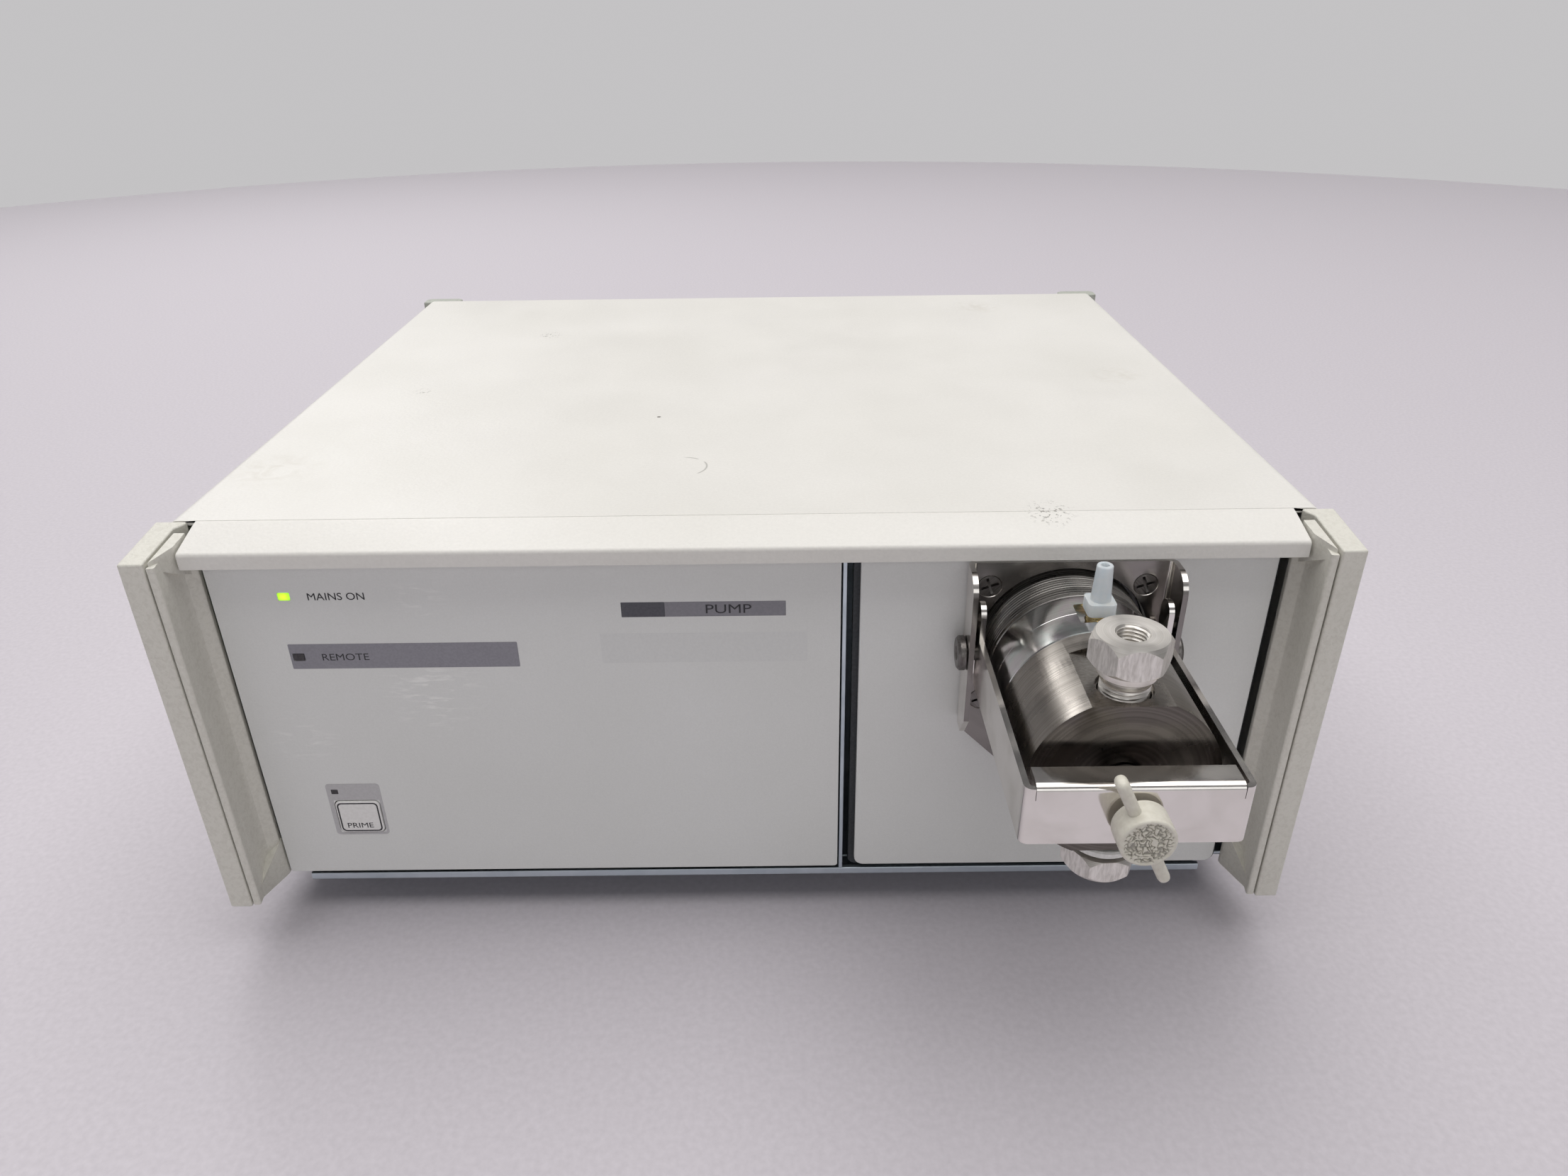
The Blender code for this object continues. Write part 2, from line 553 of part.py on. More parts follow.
def luer_fitting(finish):
    base = rounded((LUER_X - 3.6, LUER_X + 3.6), (LUER_Y - 3.6, LUER_Y + 3.6), 1.2, 2)
    part = place("luer_fitting", prism(base, "Z", 126.9, 130.4), finish)
    stem = [(0, 118.0), (2.2, 118.0), (2.2, 127.5), (2.6, 130.0), (2.1, 140.4), (0, 140.4)]
    join(part, turned(stem, "Z", (LUER_X, LUER_Y, 0), 16))
    return cut(part, rod(1.2, "Z", (LUER_X, LUER_Y, 0), 116.0, 142.0, 10))


# ---- drive ----

def drive_casting(finish):
    """Front wall with the crosshead bore, two cheeks on feet and a web under the cam."""
    (left0, left1), (right0, right1) = CHEEK_XS
    slab = box((left0 + 0.2, right1 - 0.2), (CAST_FRONT, 28.0), (68.0, 135.8))
    wall = place("drive_casting", slab, finish)
    floor = TRAY_BOTTOM + SHEET + GAP
    join(wall, box((left0, left1), (CAST_FRONT + 0.2, 150.0), (floor, 136.0)))
    join(wall, box((right0, right1), (CAST_FRONT + 0.2, 240.0), (floor, 136.0)))
    join(wall, box((left0 + 1, right1 - 1), (CAST_FRONT + 0.4, 149.5), (62.0, 68.5)))
    join(wall, rod(17.0, "Y", (HEAD_X, 0, HEAD_Z), CAST_FRONT + 1, 40.0, 32))
    cut(wall, rod(BORE, "Y", (HEAD_X, 0, HEAD_Z), 10, 45, 32))
    for x, z in screw_places():
        cut(wall, rod(1.95, "Y", (x, 0, z), 15, 32, 12))
    for low, high in CHEEK_XS:
        cut(wall, rod(11.3, "X", (0, CAM_Y, HEAD_Z), low - 2, high + 2, 28))
    cut(wall, rod(12.0, "X", (0, MOTOR_Y, HEAD_Z), right0 - 2, right1 + 2, 24))
    cut(wall, box((left0 - 2, left1 + 2), (44.0, 136.0), (26.0, 54.0)))
    return cut(wall, box((right0 - 2, right1 + 2), (44.0, 200.0), (26.0, 54.0)))


def cam_bearing(name, x, finish):
    profile = [(SHAFT_RADIUS + GAP, x[0]), (8.0, x[0]), (8.3, x[0] + 0.6), (9.2, x[0] + 0.6), (9.5, x[0]),
               (11.0, x[0]), (11.0, x[1]), (SHAFT_RADIUS + GAP, x[1])]
    return place(name, turned(profile, "X", (0, CAM_Y, HEAD_Z), 20), finish)


def cam_radius(angle):
    """Radius of the spiral cam at an angle from the roller's contact line at rest."""
    dwell = math.radians(25)
    if angle <= CAM_TURN:
        return CAM_LOW + STROKE * angle / CAM_TURN
    fall = (angle - CAM_TURN) / (2 * math.pi - CAM_TURN - dwell)
    return CAM_LOW + STROKE * max(0.0, 1 - fall)


def camshaft(finish):
    """Shaft and spiral cam in one: turning it pushes the roller forward at a constant rate."""
    steps = 60
    outline = []
    for k in range(steps):
        angle = 2 * math.pi * k / steps
        radius = cam_radius(angle)
        outline.append((CAM_Y - radius * math.cos(angle), HEAD_Z + radius * math.sin(angle)))
    cam = place("camshaft", prism(outline, "X", HEAD_X - 4, HEAD_X + 4), finish, (HEAD_X, CAM_Y, HEAD_Z))
    return join(cam, rod(SHAFT_RADIUS, "X", (0, CAM_Y, HEAD_Z), 58.0, 137.0, 24))


def pulley(name, radius, bore, y, finish):
    low, high = BELT_XS
    rim = radius + 1.5
    profile = [(bore + GAP, low - 1.5), (rim, low - 1.5), (rim, low - 0.3), (radius, low - 0.2),
               (radius, high + 0.2), (rim, high + 0.3), (rim, high + 1.5), (bore + GAP, high + 1.5)]
    return place(name, turned(profile, "X", (0, y, HEAD_Z), 28), finish, (HEAD_X, y, HEAD_Z))


def timing_belt(finish):
    def loop(extra):
        big, small = CAM_PULLEY_RADIUS + extra, MOTOR_PULLEY_RADIUS + extra
        lean = math.degrees(math.acos((big - small) / (MOTOR_Y - CAM_Y)))
        return (arc(CAM_Y, HEAD_Z, big, lean, 360 - lean, 18)
                + arc(MOTOR_Y, HEAD_Z, small, -lean, lean, 12))

    belt = place("timing_belt", prism(loop(1.9), "X", *BELT_XS), finish)
    return cut(belt, prism(loop(0.3), "X", BELT_XS[0] - 2, BELT_XS[1] + 2))


def crosshead(finish):
    flange = 70.0
    profile = [(0, 24.0), (CROSSHEAD_RADIUS - 1, 24.0), (CROSSHEAD_RADIUS, 25.0),
               (CROSSHEAD_RADIUS, flange), (16.0, flange), (16.0, flange + 4), (0, flange + 4)]
    centre = (HEAD_X, 0, HEAD_Z)
    slide = place("crosshead", turned(profile, "Y", centre, 28), finish, (HEAD_X, flange, HEAD_Z))
    join(slide, box((HEAD_X - 10.5, HEAD_X + 10.5), (flange + 1, ROLLER_Y + 6), (HEAD_Z - 7, HEAD_Z + 7)))
    cut(slide, box((HEAD_X - 4.6, HEAD_X + 4.6), (flange + 7, ROLLER_Y + 10), (HEAD_Z - 12, HEAD_Z + 12)))
    return join(slide, rod(2.5, "X", (0, ROLLER_Y, HEAD_Z), HEAD_X - 9.5, HEAD_X + 9.5, 16))


def return_spring(finish):
    """Coil spring between the guide boss and the crosshead's flange."""
    turns, steps, sides = 5, 12, 5
    wire, mean = 1.1, 14.5
    low, high = 40.3 + wire, 69.7 - wire
    mesh = bmesh.new()
    rings = []
    for k in range(turns * steps + 1):
        angle = 2 * math.pi * k / steps
        along = low + (high - low) * k / (turns * steps)
        section = []
        for s in range(sides):
            phi = 2 * math.pi * s / sides
            radius = mean + wire * math.cos(phi)
            section.append(mesh.verts.new((HEAD_X + radius * math.cos(angle), along + wire * math.sin(phi),
                                           HEAD_Z + radius * math.sin(angle))))
        rings.append(section)
    for first, second in zip(rings, rings[1:]):
        for s in range(sides):
            t = (s + 1) % sides
            mesh.faces.new((first[s], first[t], second[t], second[s]))
    mesh.faces.new(rings[0])
    mesh.faces.new(rings[-1])
    return place("return_spring", mesh, finish)


def stepper_motor(finish):
    x = (56.0, CHEEK_XS[1][0] - GAP)
    outline = [(MOTOR_Y + y, HEAD_Z + z) for y, z in rounded((-MOTOR_HALF, MOTOR_HALF),
                                                           (-MOTOR_HALF, MOTOR_HALF), 6.0)]
    motor = place("stepper_motor", prism(outline, "X", *x), finish)
    join(motor, box((x[0] + 6, x[0] + 16), (MOTOR_Y - 10, MOTOR_Y + 10),
                    (HEAD_Z - MOTOR_HALF - 5, HEAD_Z - 20)))
    return cut(motor, rod(MOTOR_SHAFT_RADIUS + GAP, "X", (0, MOTOR_Y, HEAD_Z), x[0] - 3, x[1] + 3, 20))


# ---- electronics and rear ----

def main_board(finish):
    board = place("main_board", box((-148.0, 14.0), (34.0, 176.0), (24.0, 25.6)), finish)
    chips = (((-132, -112), (56, 76), 29), ((-96, -66), (50, 64), 28), ((-96, -66), (76, 90), 28),
             ((-50, -30), (52, 92), 29), ((-132, -104), (104, 112), 34), ((-88, -60), (110, 150), 27.5),
             ((-40, -20), (110, 120), 38), ((-12, 6), (60, 100), 33), ((-140, -100), (160, 170), 36))
    for x, y, top in chips:
        join(board, box(x, y, (25.0, top)))
    for k in range(3):
        join(board, rod(6.0, "Z", (-34 + 16 * k, 150, 0), 25.0, 46.0, 14))
    return board


def transformer(finish):
    """Laminated core with its winding bulging out on two sides."""
    floor = TRAY_BOTTOM + SHEET + GAP
    core = place("transformer", box((-78.0, -16.0), (200.0, 238.0), (floor, 68.0)), finish)
    winding = rounded((-66.0, -28.0), (24.0, 60.0), 5.0)
    join(core, prism(winding, "Y", 190.0, 248.0))
    return join(core, box((-84.0, -10.0), (202.0, 236.0), (floor + 0.2, floor + 3.0)))


def mains_inlet(finish):
    """Power entry block: fuse drawer below, three-pin inlet in the middle, rocker switch on top."""
    front = REAR_PANEL_Y + SHEET + GAP
    outline = rounded((INLET_X - 17, INLET_X + 17), (INLET_Z - 39, INLET_Z + 39), 3.0)
    part = place("mains_inlet", prism(outline, "Y", front, front + 2.5), finish)
    join(part, box((INLET_X - 14, INLET_X + 14), (252.0, front + 1), (INLET_Z - 35.5, INLET_Z + 35.5)))
    cut(part, prism(rounded((INLET_X - 12, INLET_X + 12), (INLET_Z - 8.5, INLET_Z + 8.5), 3.0), "Y",
                    front - 15, front + 5))
    for x, z in ((-6.5, -2.5), (0.0, 3.0), (6.5, -2.5)):
        join(part, box((INLET_X + x - 1, INLET_X + x + 1), (front - 17, front - 2),
                       (INLET_Z + z - 2, INLET_Z + z + 2)))
    cut(part, box((INLET_X - 11.3, INLET_X + 11.3), (front - 22, front + 5),
                  (INLET_Z - 33.3, INLET_Z - 18.7)))
    return cut(part, box((INLET_X - 10.3, INLET_X + 10.3), (front - 14, front + 5),
                         (INLET_Z + 16.7, INLET_Z + 33.3)))


def fuse_drawer(finish):
    face = REAR_PANEL_Y + SHEET + GAP + 2.5
    x, z = (INLET_X - 11, INLET_X + 11), (INLET_Z - 33, INLET_Z - 19)
    drawer = place("fuse_drawer", box(x, (face - 23.0, face + 0.6), z), finish)
    grip = box((INLET_X - 5, INLET_X + 5), (face, face + 1.8), (INLET_Z - 27.5, INLET_Z - 25.5))
    return join(drawer, grip)


def power_rocker(finish):
    """Rocker switch: a shallow V face turning on a pivot behind it, shown switched off."""
    face = REAR_PANEL_Y + SHEET + GAP + 2.5
    middle = INLET_Z + 25.0
    pivot = face - 6.0
    outline = [(pivot - 4.0, middle - 3.0), (pivot - 4.0, middle + 3.0)]
    outline += [(pivot + 4.6, middle + 7.0), (pivot + 4.8, middle + 0.5), (pivot + 6.4, middle - 6.3)]
    return place("power_rocker", prism(outline, "X", INLET_X - 9.8, INLET_X + 9.8), finish,
                 (INLET_X, pivot, middle))


def signal_connector(finish):
    front = REAR_PANEL_Y + SHEET + GAP
    shell = [(SIGNAL_X - 19, SIGNAL_Z + 5), (SIGNAL_X - 17.5, SIGNAL_Z - 5),
             (SIGNAL_X + 17.5, SIGNAL_Z - 5), (SIGNAL_X + 19, SIGNAL_Z + 5)]
    flange = rounded((SIGNAL_X - 26, SIGNAL_X + 26), (SIGNAL_Z - 6.2, SIGNAL_Z + 6.2), 1.5, 2)
    part = place("signal_connector", prism(flange, "Y", front, front + 1.0), finish)
    join(part, prism(shell, "Y", front - 10.0, front + 5.8))
    pocket = [(SIGNAL_X - 17.8, SIGNAL_Z + 4.1), (SIGNAL_X - 16.5, SIGNAL_Z - 4.1),
              (SIGNAL_X + 16.5, SIGNAL_Z - 4.1), (SIGNAL_X + 17.8, SIGNAL_Z + 4.1)]
    return cut(part, prism(pocket, "Y", front - 0.5, front + 8.0))


# ---- assembly ----

def build_case(paint, trim, zinc, rubber, corner):
    top_cover(paint)
    for label, side in (("left", -1), ("right", 1)):
        front_post(f"front_post_{label}", side, trim)
        post_liner(f"post_liner_{label}", side, trim)
        rear_post(f"rear_post_{label}", side, corner)
        for end, y in zip(("front", "rear"), FOOT_Y):
            foot(f"foot_{end}_{label}", side * FOOT_X, y, rubber)
    chassis_tray(zinc)
    divider_wall(zinc)
    rear_panel(zinc)


def build_front(panel, dark, key, lens_on, lens_off):
    control_panel(panel)
    pump_fascia(panel)
    pump_backplate(dark)
    prime_key(key)
    led("mains_led", MAINS_LED_Z, lens_on)
    led("remote_led", REMOTE_LED_Z, lens_off)


def build_clamp(nickel, steel, plastic):
    head_bracket(nickel)
    for number, (x, z) in enumerate(screw_places(), 1):
        bracket_screw(f"bracket_screw_{number}", x, z, steel)
    pivot_pin("pivot_pin_left", -1, steel)
    pivot_pin("pivot_pin_right", 1, steel)
    clamp_yoke(nickel)
    thrust_pad(steel)
    clamp_screw(steel)
    clamp_knob(plastic)


def build_head(steel, titanium, milky, polymer, ruby):
    head_rear_ring(steel)
    rinse_ring(steel)
    head_body(titanium)
    luer_fitting(milky)
    valve("outlet_valve", 1, 23.4, 28.0, 36.0, titanium)
    valve("inlet_valve", -1, 20.4, 25.5, 32.0, titanium)
    washer = ring(6.5, 9.4, "Z", (HEAD_X, VALVE_Y, 0), HEAD_Z - 23.7, HEAD_Z - FLAT - GAP, 24)
    place("inlet_washer", washer, polymer)
    ball("outlet_ball", HEAD_Z + 13.2, ruby)
    ball("inlet_ball", HEAD_Z - 14.8, ruby)
    place("piston_seal", ring(2.7, 5.9, "Y", (HEAD_X, 0, HEAD_Z), -23.2, HEAD_BACK - GAP, 20), polymer)


def build_drive(casting, steel, ceramic, black, rubber):
    drive_casting(casting)
    for label, (low, high) in zip(("left", "right"), CHEEK_XS):
        cam_bearing(f"cam_bearing_{label}", (low, high), steel)
    camshaft(steel)
    pulley("cam_pulley", CAM_PULLEY_RADIUS, SHAFT_RADIUS, CAM_Y, casting)
    crosshead(steel)
    place("piston", rod(PISTON_RADIUS, "Y", (HEAD_X, 0, HEAD_Z), -27.0, 24.0 - GAP, 16), ceramic)
    roller = ring(2.8, ROLLER_RADIUS, "X", (0, ROLLER_Y, HEAD_Z), HEAD_X - 4, HEAD_X + 4, 28)
    place("follower_roller", roller, steel, (HEAD_X, ROLLER_Y, HEAD_Z))
    return_spring(steel)
    stepper_motor(black)
    place("motor_shaft", rod(MOTOR_SHAFT_RADIUS, "X", (0, MOTOR_Y, HEAD_Z), 57.0, 137.0, 16), steel,
          (HEAD_X, MOTOR_Y, HEAD_Z))
    pulley("motor_pulley", MOTOR_PULLEY_RADIUS, MOTOR_SHAFT_RADIUS, MOTOR_Y, casting)
    timing_belt(rubber)


def build_electrics(board, iron, black, zinc):
    main_board(board)
    transformer(iron)
    mains_inlet(black)
    fuse_drawer(black)
    power_rocker(black)
    signal_connector(zinc)


def main():
    clear_scene()
    paint = material("paint_cover", (0.72, 0.70, 0.65), 0.55)
    panel = material("paint_panel", (0.70, 0.71, 0.70), 0.45)
    trim = material("plastic_trim", (0.55, 0.54, 0.49), 0.6)
    corner = material("plastic_corner", (0.42, 0.44, 0.40), 0.6)
    zinc = material("zinc_plate", (0.56, 0.60, 0.62), 0.35, 1.0)
    dark = material("plate_dark", (0.13, 0.14, 0.15), 0.5)
    rubber = material("rubber_black", (0.03, 0.03, 0.03), 0.8)
    nickel = material("nickel_plate", (0.72, 0.70, 0.67), 0.12, 1.0)
    steel = material("stainless", (0.66, 0.65, 0.63), 0.22, 1.0)
    titanium = material("titanium", (0.50, 0.47, 0.43), 0.3, 1.0)
    plastic = material("plastic_knob", (0.62, 0.62, 0.57), 0.5)
    milky = material("plastic_milky", (0.86, 0.90, 0.92), 0.3)
    polymer = material("polymer_white", (0.85, 0.85, 0.83), 0.4)
    ruby = material("ruby", (0.55, 0.03, 0.06), 0.1)
    ceramic = material("ceramic", (0.88, 0.86, 0.80), 0.15)
    casting = material("cast_aluminium", (0.60, 0.61, 0.62), 0.45, 1.0)
    black = material("plastic_black", (0.035, 0.035, 0.037), 0.45)
    key = material("key_white", (0.78, 0.79, 0.79), 0.4)
    lens_on = material("led_green", (0.45, 0.85, 0.10), 0.3)
    lens_off = material("led_dark", (0.10, 0.07, 0.06), 0.3)
    board = material("circuit_board", (0.04, 0.20, 0.10), 0.5)
    iron = material("lamination", (0.20, 0.19, 0.18), 0.5, 1.0)
    build_case(paint, trim, zinc, rubber, corner)
    build_front(panel, dark, key, lens_on, lens_off)
    build_clamp(nickel, steel, plastic)
    build_head(steel, titanium, milky, polymer, ruby)
    build_drive(casting, steel, ceramic, black, rubber)
    build_electrics(board, iron, black, zinc)


main()
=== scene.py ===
"""Looks of the bench-top metering pump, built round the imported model.

Lengths are in millimetres from the working datum: x = 0 in the middle, y = 0 at the front faces of
the corner posts (y grows towards the back), z = 0 on the bench. Meshes are made in metres in the
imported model's frame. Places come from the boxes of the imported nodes.
"""
import math
from collections import namedtuple

import bmesh
import bpy
from mathutils import Matrix, Vector, noise


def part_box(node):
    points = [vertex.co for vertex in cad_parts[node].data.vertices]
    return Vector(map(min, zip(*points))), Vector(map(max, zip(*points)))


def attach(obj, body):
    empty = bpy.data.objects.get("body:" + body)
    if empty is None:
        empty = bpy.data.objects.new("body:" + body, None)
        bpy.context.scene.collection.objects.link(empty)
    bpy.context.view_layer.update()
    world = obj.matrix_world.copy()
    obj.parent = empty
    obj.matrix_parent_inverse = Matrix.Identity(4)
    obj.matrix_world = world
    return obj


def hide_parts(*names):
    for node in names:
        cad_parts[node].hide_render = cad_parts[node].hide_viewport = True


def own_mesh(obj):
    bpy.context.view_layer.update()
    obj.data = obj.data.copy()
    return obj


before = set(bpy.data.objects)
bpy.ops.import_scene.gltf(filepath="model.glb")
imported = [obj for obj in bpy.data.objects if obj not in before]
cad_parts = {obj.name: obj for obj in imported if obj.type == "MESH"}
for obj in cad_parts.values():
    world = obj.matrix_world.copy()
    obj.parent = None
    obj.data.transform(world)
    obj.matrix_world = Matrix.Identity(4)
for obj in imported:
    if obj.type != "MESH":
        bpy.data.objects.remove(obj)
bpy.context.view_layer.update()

MM = 0.001
GAP = 0.3               # clearance between touching pieces
SHEET = 1.5             # folded sheet metal
Box = namedtuple("Box", "x0 x1 y0 y1 z0 z1")
FRONT_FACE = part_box("front_post_left")[0].y


def span(node):
    """The node's box in datum millimetres."""
    low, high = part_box(node)
    return Box(low.x / MM, high.x / MM, (low.y - FRONT_FACE) / MM, (high.y - FRONT_FACE) / MM,
               low.z / MM, high.z / MM)


COVER = span("top_cover")
POST = span("front_post_right")
PANEL = span("control_panel")
FASCIA = span("pump_fascia")
KEY = span("prime_key")
BRACKET = span("head_bracket")
YOKE = span("clamp_yoke")
KNOB = span("clamp_knob")
PAD = span("thrust_pad")
RING = span("head_rear_ring")
RINSE = span("rinse_ring")
BODY = span("head_body")
OUTLET = span("outlet_valve")
WASHER = span("inlet_washer")
LUER = span("luer_fitting")
MAINS = span("mains_inlet")
SIGNAL = span("signal_connector")
REAR = span("rear_panel")

HEAD_X, HEAD_Z = (RING.x0 + RING.x1) / 2, (RING.z0 + RING.z1) / 2
HEAD_RADIUS = (RING.z1 - RING.z0) / 2
FLAT_BACK = BODY.y0 + 23.5                          # where the head's top and bottom flats end
FLAT = 21.3                                         # their distance from the head's axis
VALVE_Y = (OUTLET.y0 + OUTLET.y1) / 2
CLAMP_Z = (PAD.z0 + PAD.z1) / 2
SCREWS = [span(f"bracket_screw_{n}") for n in (1, 2, 3, 4)]
SCREW_PLACES = [((screw.x0 + screw.x1) / 2, (screw.z0 + screw.z1) / 2) for screw in SCREWS]
PIN_Y = (span("pivot_pin_left").y0 + span("pivot_pin_left").y1) / 2
PIN_Z = (span("pivot_pin_left").z0 + span("pivot_pin_left").z1) / 2
PIN_RADIUS = 2.2
HEX_FLATS = 17.0
COVER_FRONT = POST.y1 + GAP
WING_TILT = math.radians(26)


# ---- materials ----

def shade(red, green, blue):
    """A colour from display values 0 to 255."""
    def linear(value):
        value /= 255
        return value / 12.92 if value <= 0.04045 else ((value + 0.055) / 1.055) ** 2.4
    return (linear(red), linear(green), linear(blue), 1.0)


class Look:
    """A material whose colour, roughness and bump come from nodes in the object's own space."""

    def __init__(self, name, roughness=0.5, metallic=0.0, **settings):
        self.material = bpy.data.materials.new(name)
        self.material.use_nodes = True
        self.tree = self.material.node_tree
        self.shader = self.tree.nodes["Principled BSDF"]
        self.set(Roughness=roughness, Metallic=metallic)
        for key, value in settings.items():
            self.set(**{key.replace("_", " "): value})
        self.where = self.add("ShaderNodeTexCoord").outputs["Object"]

    def set(self, **values):
        for key, value in values.items():
            self.shader.inputs[key].default_value = value

    def add(self, kind, **settings):
        node = self.tree.nodes.new(kind)
        for key, value in settings.items():
            setattr(node, key, value)
        return node

    def link(self, source, target):
        if isinstance(source, bpy.types.NodeSocket):
            self.tree.links.new(source, target)
        else:
            target.default_value = rgba(source) if isinstance(source, tuple) else source

    def stretched(self, scale, centre=(0, 0, 0)):
        """The place, moved to a centre in datum millimetres and scaled."""
        node = self.add("ShaderNodeMapping", vector_type="TEXTURE")
        self.link(self.where, node.inputs["Vector"])
        node.inputs["Location"].default_value = point(*centre)
        node.inputs["Scale"].default_value = [1 / s if s else 1e6 for s in scale]
        return node.outputs["Vector"]

    def math(self, operation, first, second=0.0, third=0.0):
        node = self.add("ShaderNodeMath", operation=operation)
        for socket, value in zip(node.inputs, (first, second, third)):
            self.link(value, socket)
        return node.outputs[0]

    def turned_place(self, axis, centre):
        """(distance from the axis, place along it, 0): lathe marks follow it."""
        node = self.add("ShaderNodeVectorMath", operation="SUBTRACT")
        self.link(self.where, node.inputs[0])
        node.inputs[1].default_value = point(*centre)
        parts = self.add("ShaderNodeSeparateXYZ")
        self.link(node.outputs[0], parts.inputs[0])
        across = [name for name in "XYZ" if name != axis]
        squares = [self.math("MULTIPLY", parts.outputs[n], parts.outputs[n]) for n in across]
        radius = self.math("SQRT", self.math("ADD", *squares))
        whole = self.add("ShaderNodeCombineXYZ")
        self.link(radius, whole.inputs["X"])
        self.link(parts.outputs[axis], whole.inputs["Y"])
        return whole.outputs[0]

    def noise(self, size, detail=2.0, place=None, distortion=0.0, rough=0.5):
        """Cloudy noise with features of about size millimetres."""
        node = self.add("ShaderNodeTexNoise")
        self.link(self.where if place is None else place, node.inputs["Vector"])
        node.inputs["Scale"].default_value = 1 / (size * MM)
        node.inputs["Detail"].default_value = detail
        node.inputs["Distortion"].default_value = distortion
        node.inputs["Roughness"].default_value = rough
        return node.outputs["Fac"]

    def cells(self, size, place=None, feature="F1"):
        node = self.add("ShaderNodeTexVoronoi", feature=feature)
        self.link(self.where if place is None else place, node.inputs["Vector"])
        node.inputs["Scale"].default_value = 1 / (size * MM)
        return node.outputs["Distance"]

    def ramp(self, factor, *stops):
        """A ramp through (place, value) stops; a value is a number or a colour."""
        node = self.add("ShaderNodeValToRGB")
        self.link(factor, node.inputs["Fac"])
        ramp = node.color_ramp
        while len(ramp.elements) < len(stops):
            ramp.elements.new(0.5)
        for element, (place, value) in zip(ramp.elements, sorted(stops, key=lambda s: s[0])):
            element.position = place
            element.color = rgba(value) if isinstance(value, tuple) else (value, value, value, 1)
        return node.outputs["Color"]

    def mix(self, factor, first, second, blend="MIX"):
        node = self.add("ShaderNodeMix", data_type="RGBA", blend_type=blend)
        self.link(factor, node.inputs["Factor"])
        self.link(first, node.inputs["A"] if "A" in node.inputs else node.inputs[6])
        self.link(second, node.inputs["B"] if "B" in node.inputs else node.inputs[7])
        return node.outputs[2]

    def near(self, x, y, z, reach, soft=0.3):
        """1 within reach millimetres of a point, falling to 0 outside."""
        node = self.add("ShaderNodeVectorMath", operation="DISTANCE")
        self.link(self.where, node.inputs[0])
        node.inputs[1].default_value = point(x, y, z)
        return self.ramp(self.math("DIVIDE", node.outputs["Value"], reach * MM), (1 - soft, 1.0),
                         (1.0, 0.0))

    def bump(self, *layers):
        """Adds bump layers, each (height, depth in millimetres)."""
        last = None
        for height, depth in layers:
            node = self.add("ShaderNodeBump")
            node.inputs["Distance"].default_value = depth * MM
            self.link(height, node.inputs["Height"])
            if last:
                self.link(last, node.inputs["Normal"])
            last = node.outputs["Normal"]
        self.link(last, self.shader.inputs["Normal"])
        return self

    def colour(self, value):
        self.link(value, self.shader.inputs["Base Color"])
        return self

    def roughness(self, value):
        self.link(value, self.shader.inputs["Roughness"])
        return self


def painted(name, base, stain, grain, depth, gloss):
    """Textured powder paint: orange peel, faint stains and a little uneven gloss."""
    look = Look(name, gloss)
    cloud = look.noise(70, 4)
    tone = look.mix(look.ramp(cloud, (0.35, 0.0), (0.75, 1.0)), base, stain)
    fine = look.noise(grain * 0.55, 2)
    tone = look.mix(look.ramp(fine, (0.3, 0.0), (0.7, 0.06)), tone, (0.25, 0.24, 0.22, 1))
    look.roughness(look.ramp(look.noise(25, 3), (0.3, gloss - 0.05), (0.7, gloss + 0.08)))
    look.bump((look.noise(grain, 1.5, distortion=0.4), depth), (look.cells(grain * 0.8), depth * 0.4))
    return look, tone


def cover_paint():
    look, tone = painted("textured_paint_cover", shade(223, 221, 216), shade(217, 215, 209), 1.5, 0.09,
                         0.45)
    top = COVER.z1
    dark = (0.17, 0.16, 0.14, 1)
    for x, y, reach, strength in ((-90.0, 215.0, 5.5, 0.75), (-123.0, 137.0, 5.0, 0.4),
                                  (85.8, 22.5, 8.0, 0.7),
                                  (126.7, 7.0, 3.2, 0.5)):
        fleck = look.ramp(look.noise(1.1, 3), (0.56, 0.0), (0.62, strength))
        tone = look.mix(look.math("MULTIPLY", look.near(x, y, top, reach, 0.6), fleck), tone, dark)
    tone = look.mix(look.near(-32.0, 105.6, top, 0.8), tone, dark)
    ring = look.math("MULTIPLY", look.near(-20.3, 58.9, top, 8.2, 0.05),
                     look.math("SUBTRACT", 1.0, look.near(-20.3, 58.9, top, 7.7, 0.05)))
    ring = look.math("MULTIPLY", ring, look.ramp(look.noise(9, 1), (0.46, 0.0), (0.54, 0.55)))
    tone = look.mix(ring, tone, dark)
    for x, y, reach in ((102.0, 256.0, 13.0), (-147.0, 60.0, 16.0), (138.5, 146.5, 12.0)):
        smear = look.ramp(look.noise(7, 4, distortion=1.0), (0.42, 0.0), (0.65, 0.35))
        tone = look.mix(look.math("MULTIPLY", look.near(x, y, top, reach, 0.8), smear), tone,
                        shade(188, 182, 168))
    return look.colour(tone).material


def panel_paint():
    look, tone = painted("satin_paint_panel", shade(221, 222, 220), shade(216, 217, 214), 0.8, 0.02, 0.38)
    y = PANEL.y0
    for x, z, reach, strength in ((-94.0, 88.0, 17.0, 0.55), (-135.5, 71.7, 12.0, 0.35),
                                  (-92.6, 120.3, 9.0, 0.4)):
        streak = look.ramp(look.noise(2.2, 5, look.stretched((0.35, 1, 1.6)), 0.6), (0.52, 0.0),
                           (0.66, strength))
        patch = look.math("MULTIPLY", look.near(x, y, z, reach, 0.7), streak)
        tone = look.mix(patch, tone, shade(243, 243, 240))
    return look.colour(tone).material


